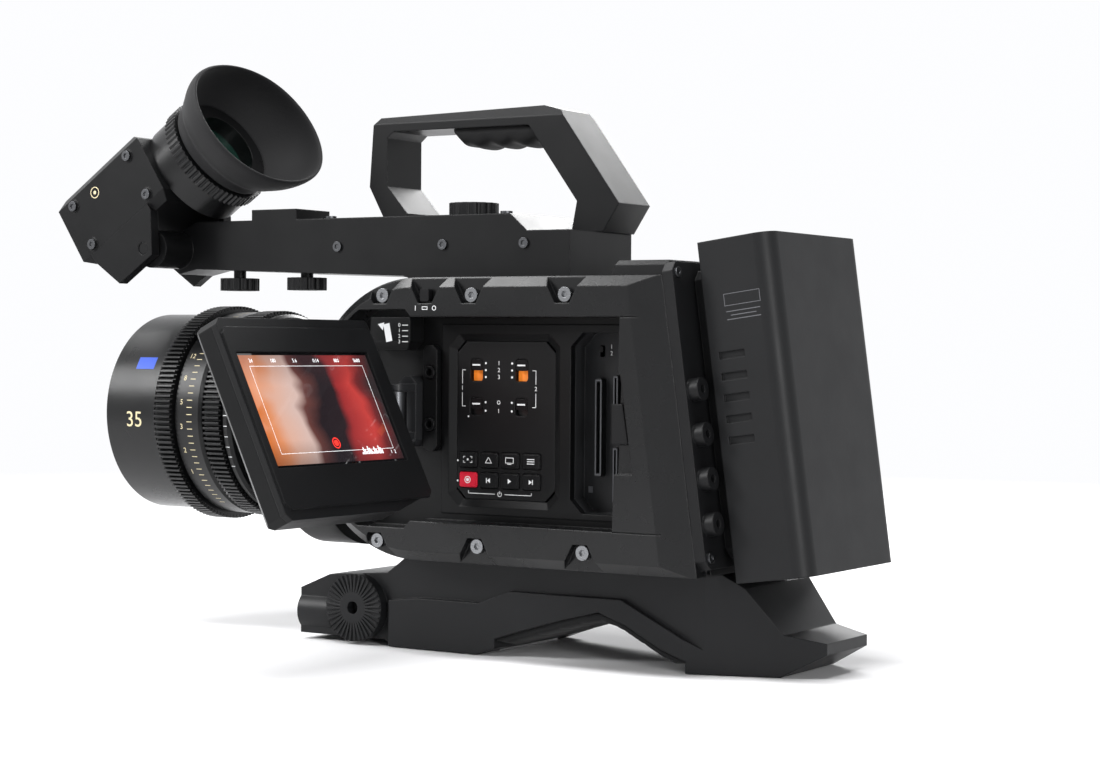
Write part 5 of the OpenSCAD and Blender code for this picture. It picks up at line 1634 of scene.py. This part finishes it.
@dataclass
class Studio:
    """The pale floor, the soft lamps, the surroundings and the photograph's camera, in metres and degrees."""

    camera_at: Place = (0.5986, -0.9048, 0.1397)
    yaw: float = 32.0
    pitch: float = -1.1
    roll: float = 0.45
    focal: float = 75.27
    sensor: float = 36.0
    floor_half: float = 6.0
    floor_drop: float = 0.0004
    floor_end: float = 1.5
    floor_fade: float = 0.9
    dim: float = 0.1
    target: Place = (0.0, 0.0, 0.12)
    lamps: tuple[Lamp, ...] = (
        Lamp("key_light", (-1.5, -1.6, 1.3), (0.5, 1.0), 46.0),
        Lamp("top_light", (0.1, -0.5, 1.9), (1.5, 0.5), 40.0),
        Lamp("edge_light", (-1.0, -0.15, 1.6), (0.9, 0.35), 9.0),
        Lamp("side_light", (1.7, -1.25, 0.45), (0.3, 1.0), 24.0),
        Lamp("back_light", (-0.6, 1.8, 1.3), (1.4, 0.6), 36.0))

    def floor(self) -> None:
        """Lays the floor that the object stands on, which fades into the white surroundings."""
        mesh = bpy.data.meshes.new("studio_floor")
        half = self.floor_half
        signs = ((-1, -1), (1, -1), (1, 1), (-1, 1))
        mesh.from_pydata([(a * half, b * half, -self.floor_drop) for a, b in signs], [], [(0, 1, 2, 3)])
        paint = Paint("studio_floor")
        tone = paint.blend(paint.noise(1.5, 2.0) * 0.3, (0.86, 0.86, 0.87), (0.83, 0.83, 0.84))
        x, y, _ = paint.split(paint.place())
        far = paint.maths("SQRT", x * x + y * y)
        fade = ((self.floor_end - far) / self.floor_fade).held()
        floor = show("studio_floor", mesh, paint.close({"Base Color": tone, "Roughness": 0.8, "Alpha": fade}))

    def world(self) -> None:
        """Sets a world that is white to the camera, in reflections and through glass, and dim as a lamp."""
        world = bpy.data.worlds.new("studio")
        world.use_nodes = True
        bpy.context.scene.world = world
        nodes, links = world.node_tree.nodes, world.node_tree.links
        nodes.clear()
        path = nodes.new("ShaderNodeLightPath")
        seen = path.outputs["Is Camera Ray"]
        for ray in ("Is Transmission Ray", "Is Glossy Ray"):
            either = nodes.new("ShaderNodeMath")
            either.operation = "MAXIMUM"
            links.new(seen, either.inputs[0])
            links.new(path.outputs[ray], either.inputs[1])
            seen = either.outputs[0]
        strength = nodes.new("ShaderNodeMath")
        strength.operation = "MULTIPLY_ADD"
        strength.inputs[1].default_value = 1.0 - self.dim
        strength.inputs[2].default_value = self.dim
        links.new(seen, strength.inputs[0])
        background = nodes.new("ShaderNodeBackground")
        background.inputs[0].default_value = (0.98, 0.985, 1.0, 1.0)
        links.new(strength.outputs[0], background.inputs[1])
        output = nodes.new("ShaderNodeOutputWorld")
        links.new(background.outputs[0], output.inputs[0])

    def view(self) -> None:
        """Places the camera where the photograph was taken."""
        data = bpy.data.cameras.new("photo_camera")
        data.lens = self.focal
        data.sensor_width = self.sensor
        data.clip_start = 0.01
        camera = bpy.data.objects.new("photo_camera", data)
        turn = (Matrix.Rotation(math.radians(self.yaw), 4, "Z")
                @ Matrix.Rotation(math.radians(90.0 + self.pitch), 4, "X")
                @ Matrix.Rotation(math.radians(self.roll), 4, "Z"))
        camera.matrix_world = Matrix.Translation(self.camera_at) @ turn
        bpy.context.scene.collection.objects.link(camera)
        bpy.context.scene.camera = camera

    def build(self) -> None:
        """Sets up the whole studio."""
        bpy.context.scene.view_settings.view_transform = "Standard"
        self.floor()
        self.world()
        for lamp in self.lamps:
            lamp.hang(Vector(self.target))
        self.view()


class Dresser:
    """Gives each node of the CAD model its finish."""

    finishes: dict[str, tuple[str, ...]] = {
        "cover": ("left_cover", "right_cover", "top_cover"),
        "frame": ("left_frame", "right_frame", "chassis"),
        "panel": ("control_panel",),
        "alloy": ("hinge_block", "nd_housing", "handle_base", "handle_frame", "viewfinder_case",
                  "monitor_case"),
        "grey": ("media_bay", "monitor_bracket"),
        "plastic": ("battery_plate", "monitor_bezel", "fan_rotor", "latch_button", "handle_knob",
                    "bar_knob_front", "bar_knob_rear", "clamp_knob"),
        "battery": ("battery_case",),
        "base": ("base_shell",),
        "key": ("key_focus", "key_peak", "key_display", "key_menu", "key_back", "key_play", "key_next"),
        "red": ("key_record",),
        "knob": ("source_switch_1", "source_switch_2", "feed_switch_1", "feed_switch_2", "power_switch",
                 "card_select_switch"),
        "lens": ("lens_barrel", "viewfinder_barrel"),
        "ring": ("lens_focus_ring", "lens_iris_ring", "nd_filter_wheel", "diopter_ring"),
        "screw": ("cover_screws",),
        "steel": ("monitor_arm", "lens_lock_ring", "battery_release"),
        "bright": ("tripod_plate",),
        "rubber": ("handle_grip", "shoulder_pad"),
        "cup": ("eyecup",),
        "glass": ("lens_glass",),
        "ocular": ("viewfinder_lens",),
        "screen": ("monitor_panel",),
        "board": ("image_sensor", "main_board"),
        "mask": ("control_board",),
    }

    def __init__(self, nodes: dict[str, bpy.types.Object], palette: Palette) -> None:
        """Keeps the nodes and the finishes."""
        self.nodes = nodes
        self.palette = palette

    def build(self) -> None:
        """Assigns the finishes, and reports a node that has none."""
        given = {node: finish for finish, nodes in self.finishes.items() for node in nodes}
        for name, piece in self.nodes.items():
            if name not in given:
                LOG.warning("%s has no finish", name)
                continue
            piece.data.materials.clear()
            piece.data.materials.append(getattr(self.palette, given[name]))
            LOG.info("%s has the finish %s", name, given[name])


def main() -> None:
    """Loads the frame, dresses it and sets up the studio."""
    logging.basicConfig(level=logging.INFO, format="%(name)s: %(message)s")
    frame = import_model()
    palette = Palette()
    Studio().build()
    Dresser(frame["nodes"], palette).build()
    for unit in (ControlPanel, SideDetails, Monitor, Lens, Viewfinder, SoftParts, RearUnit, TopUnit):
        unit(palette).build()
        LOG.info("%s is done", unit.__name__)


if __name__ == "__main__":
    main()
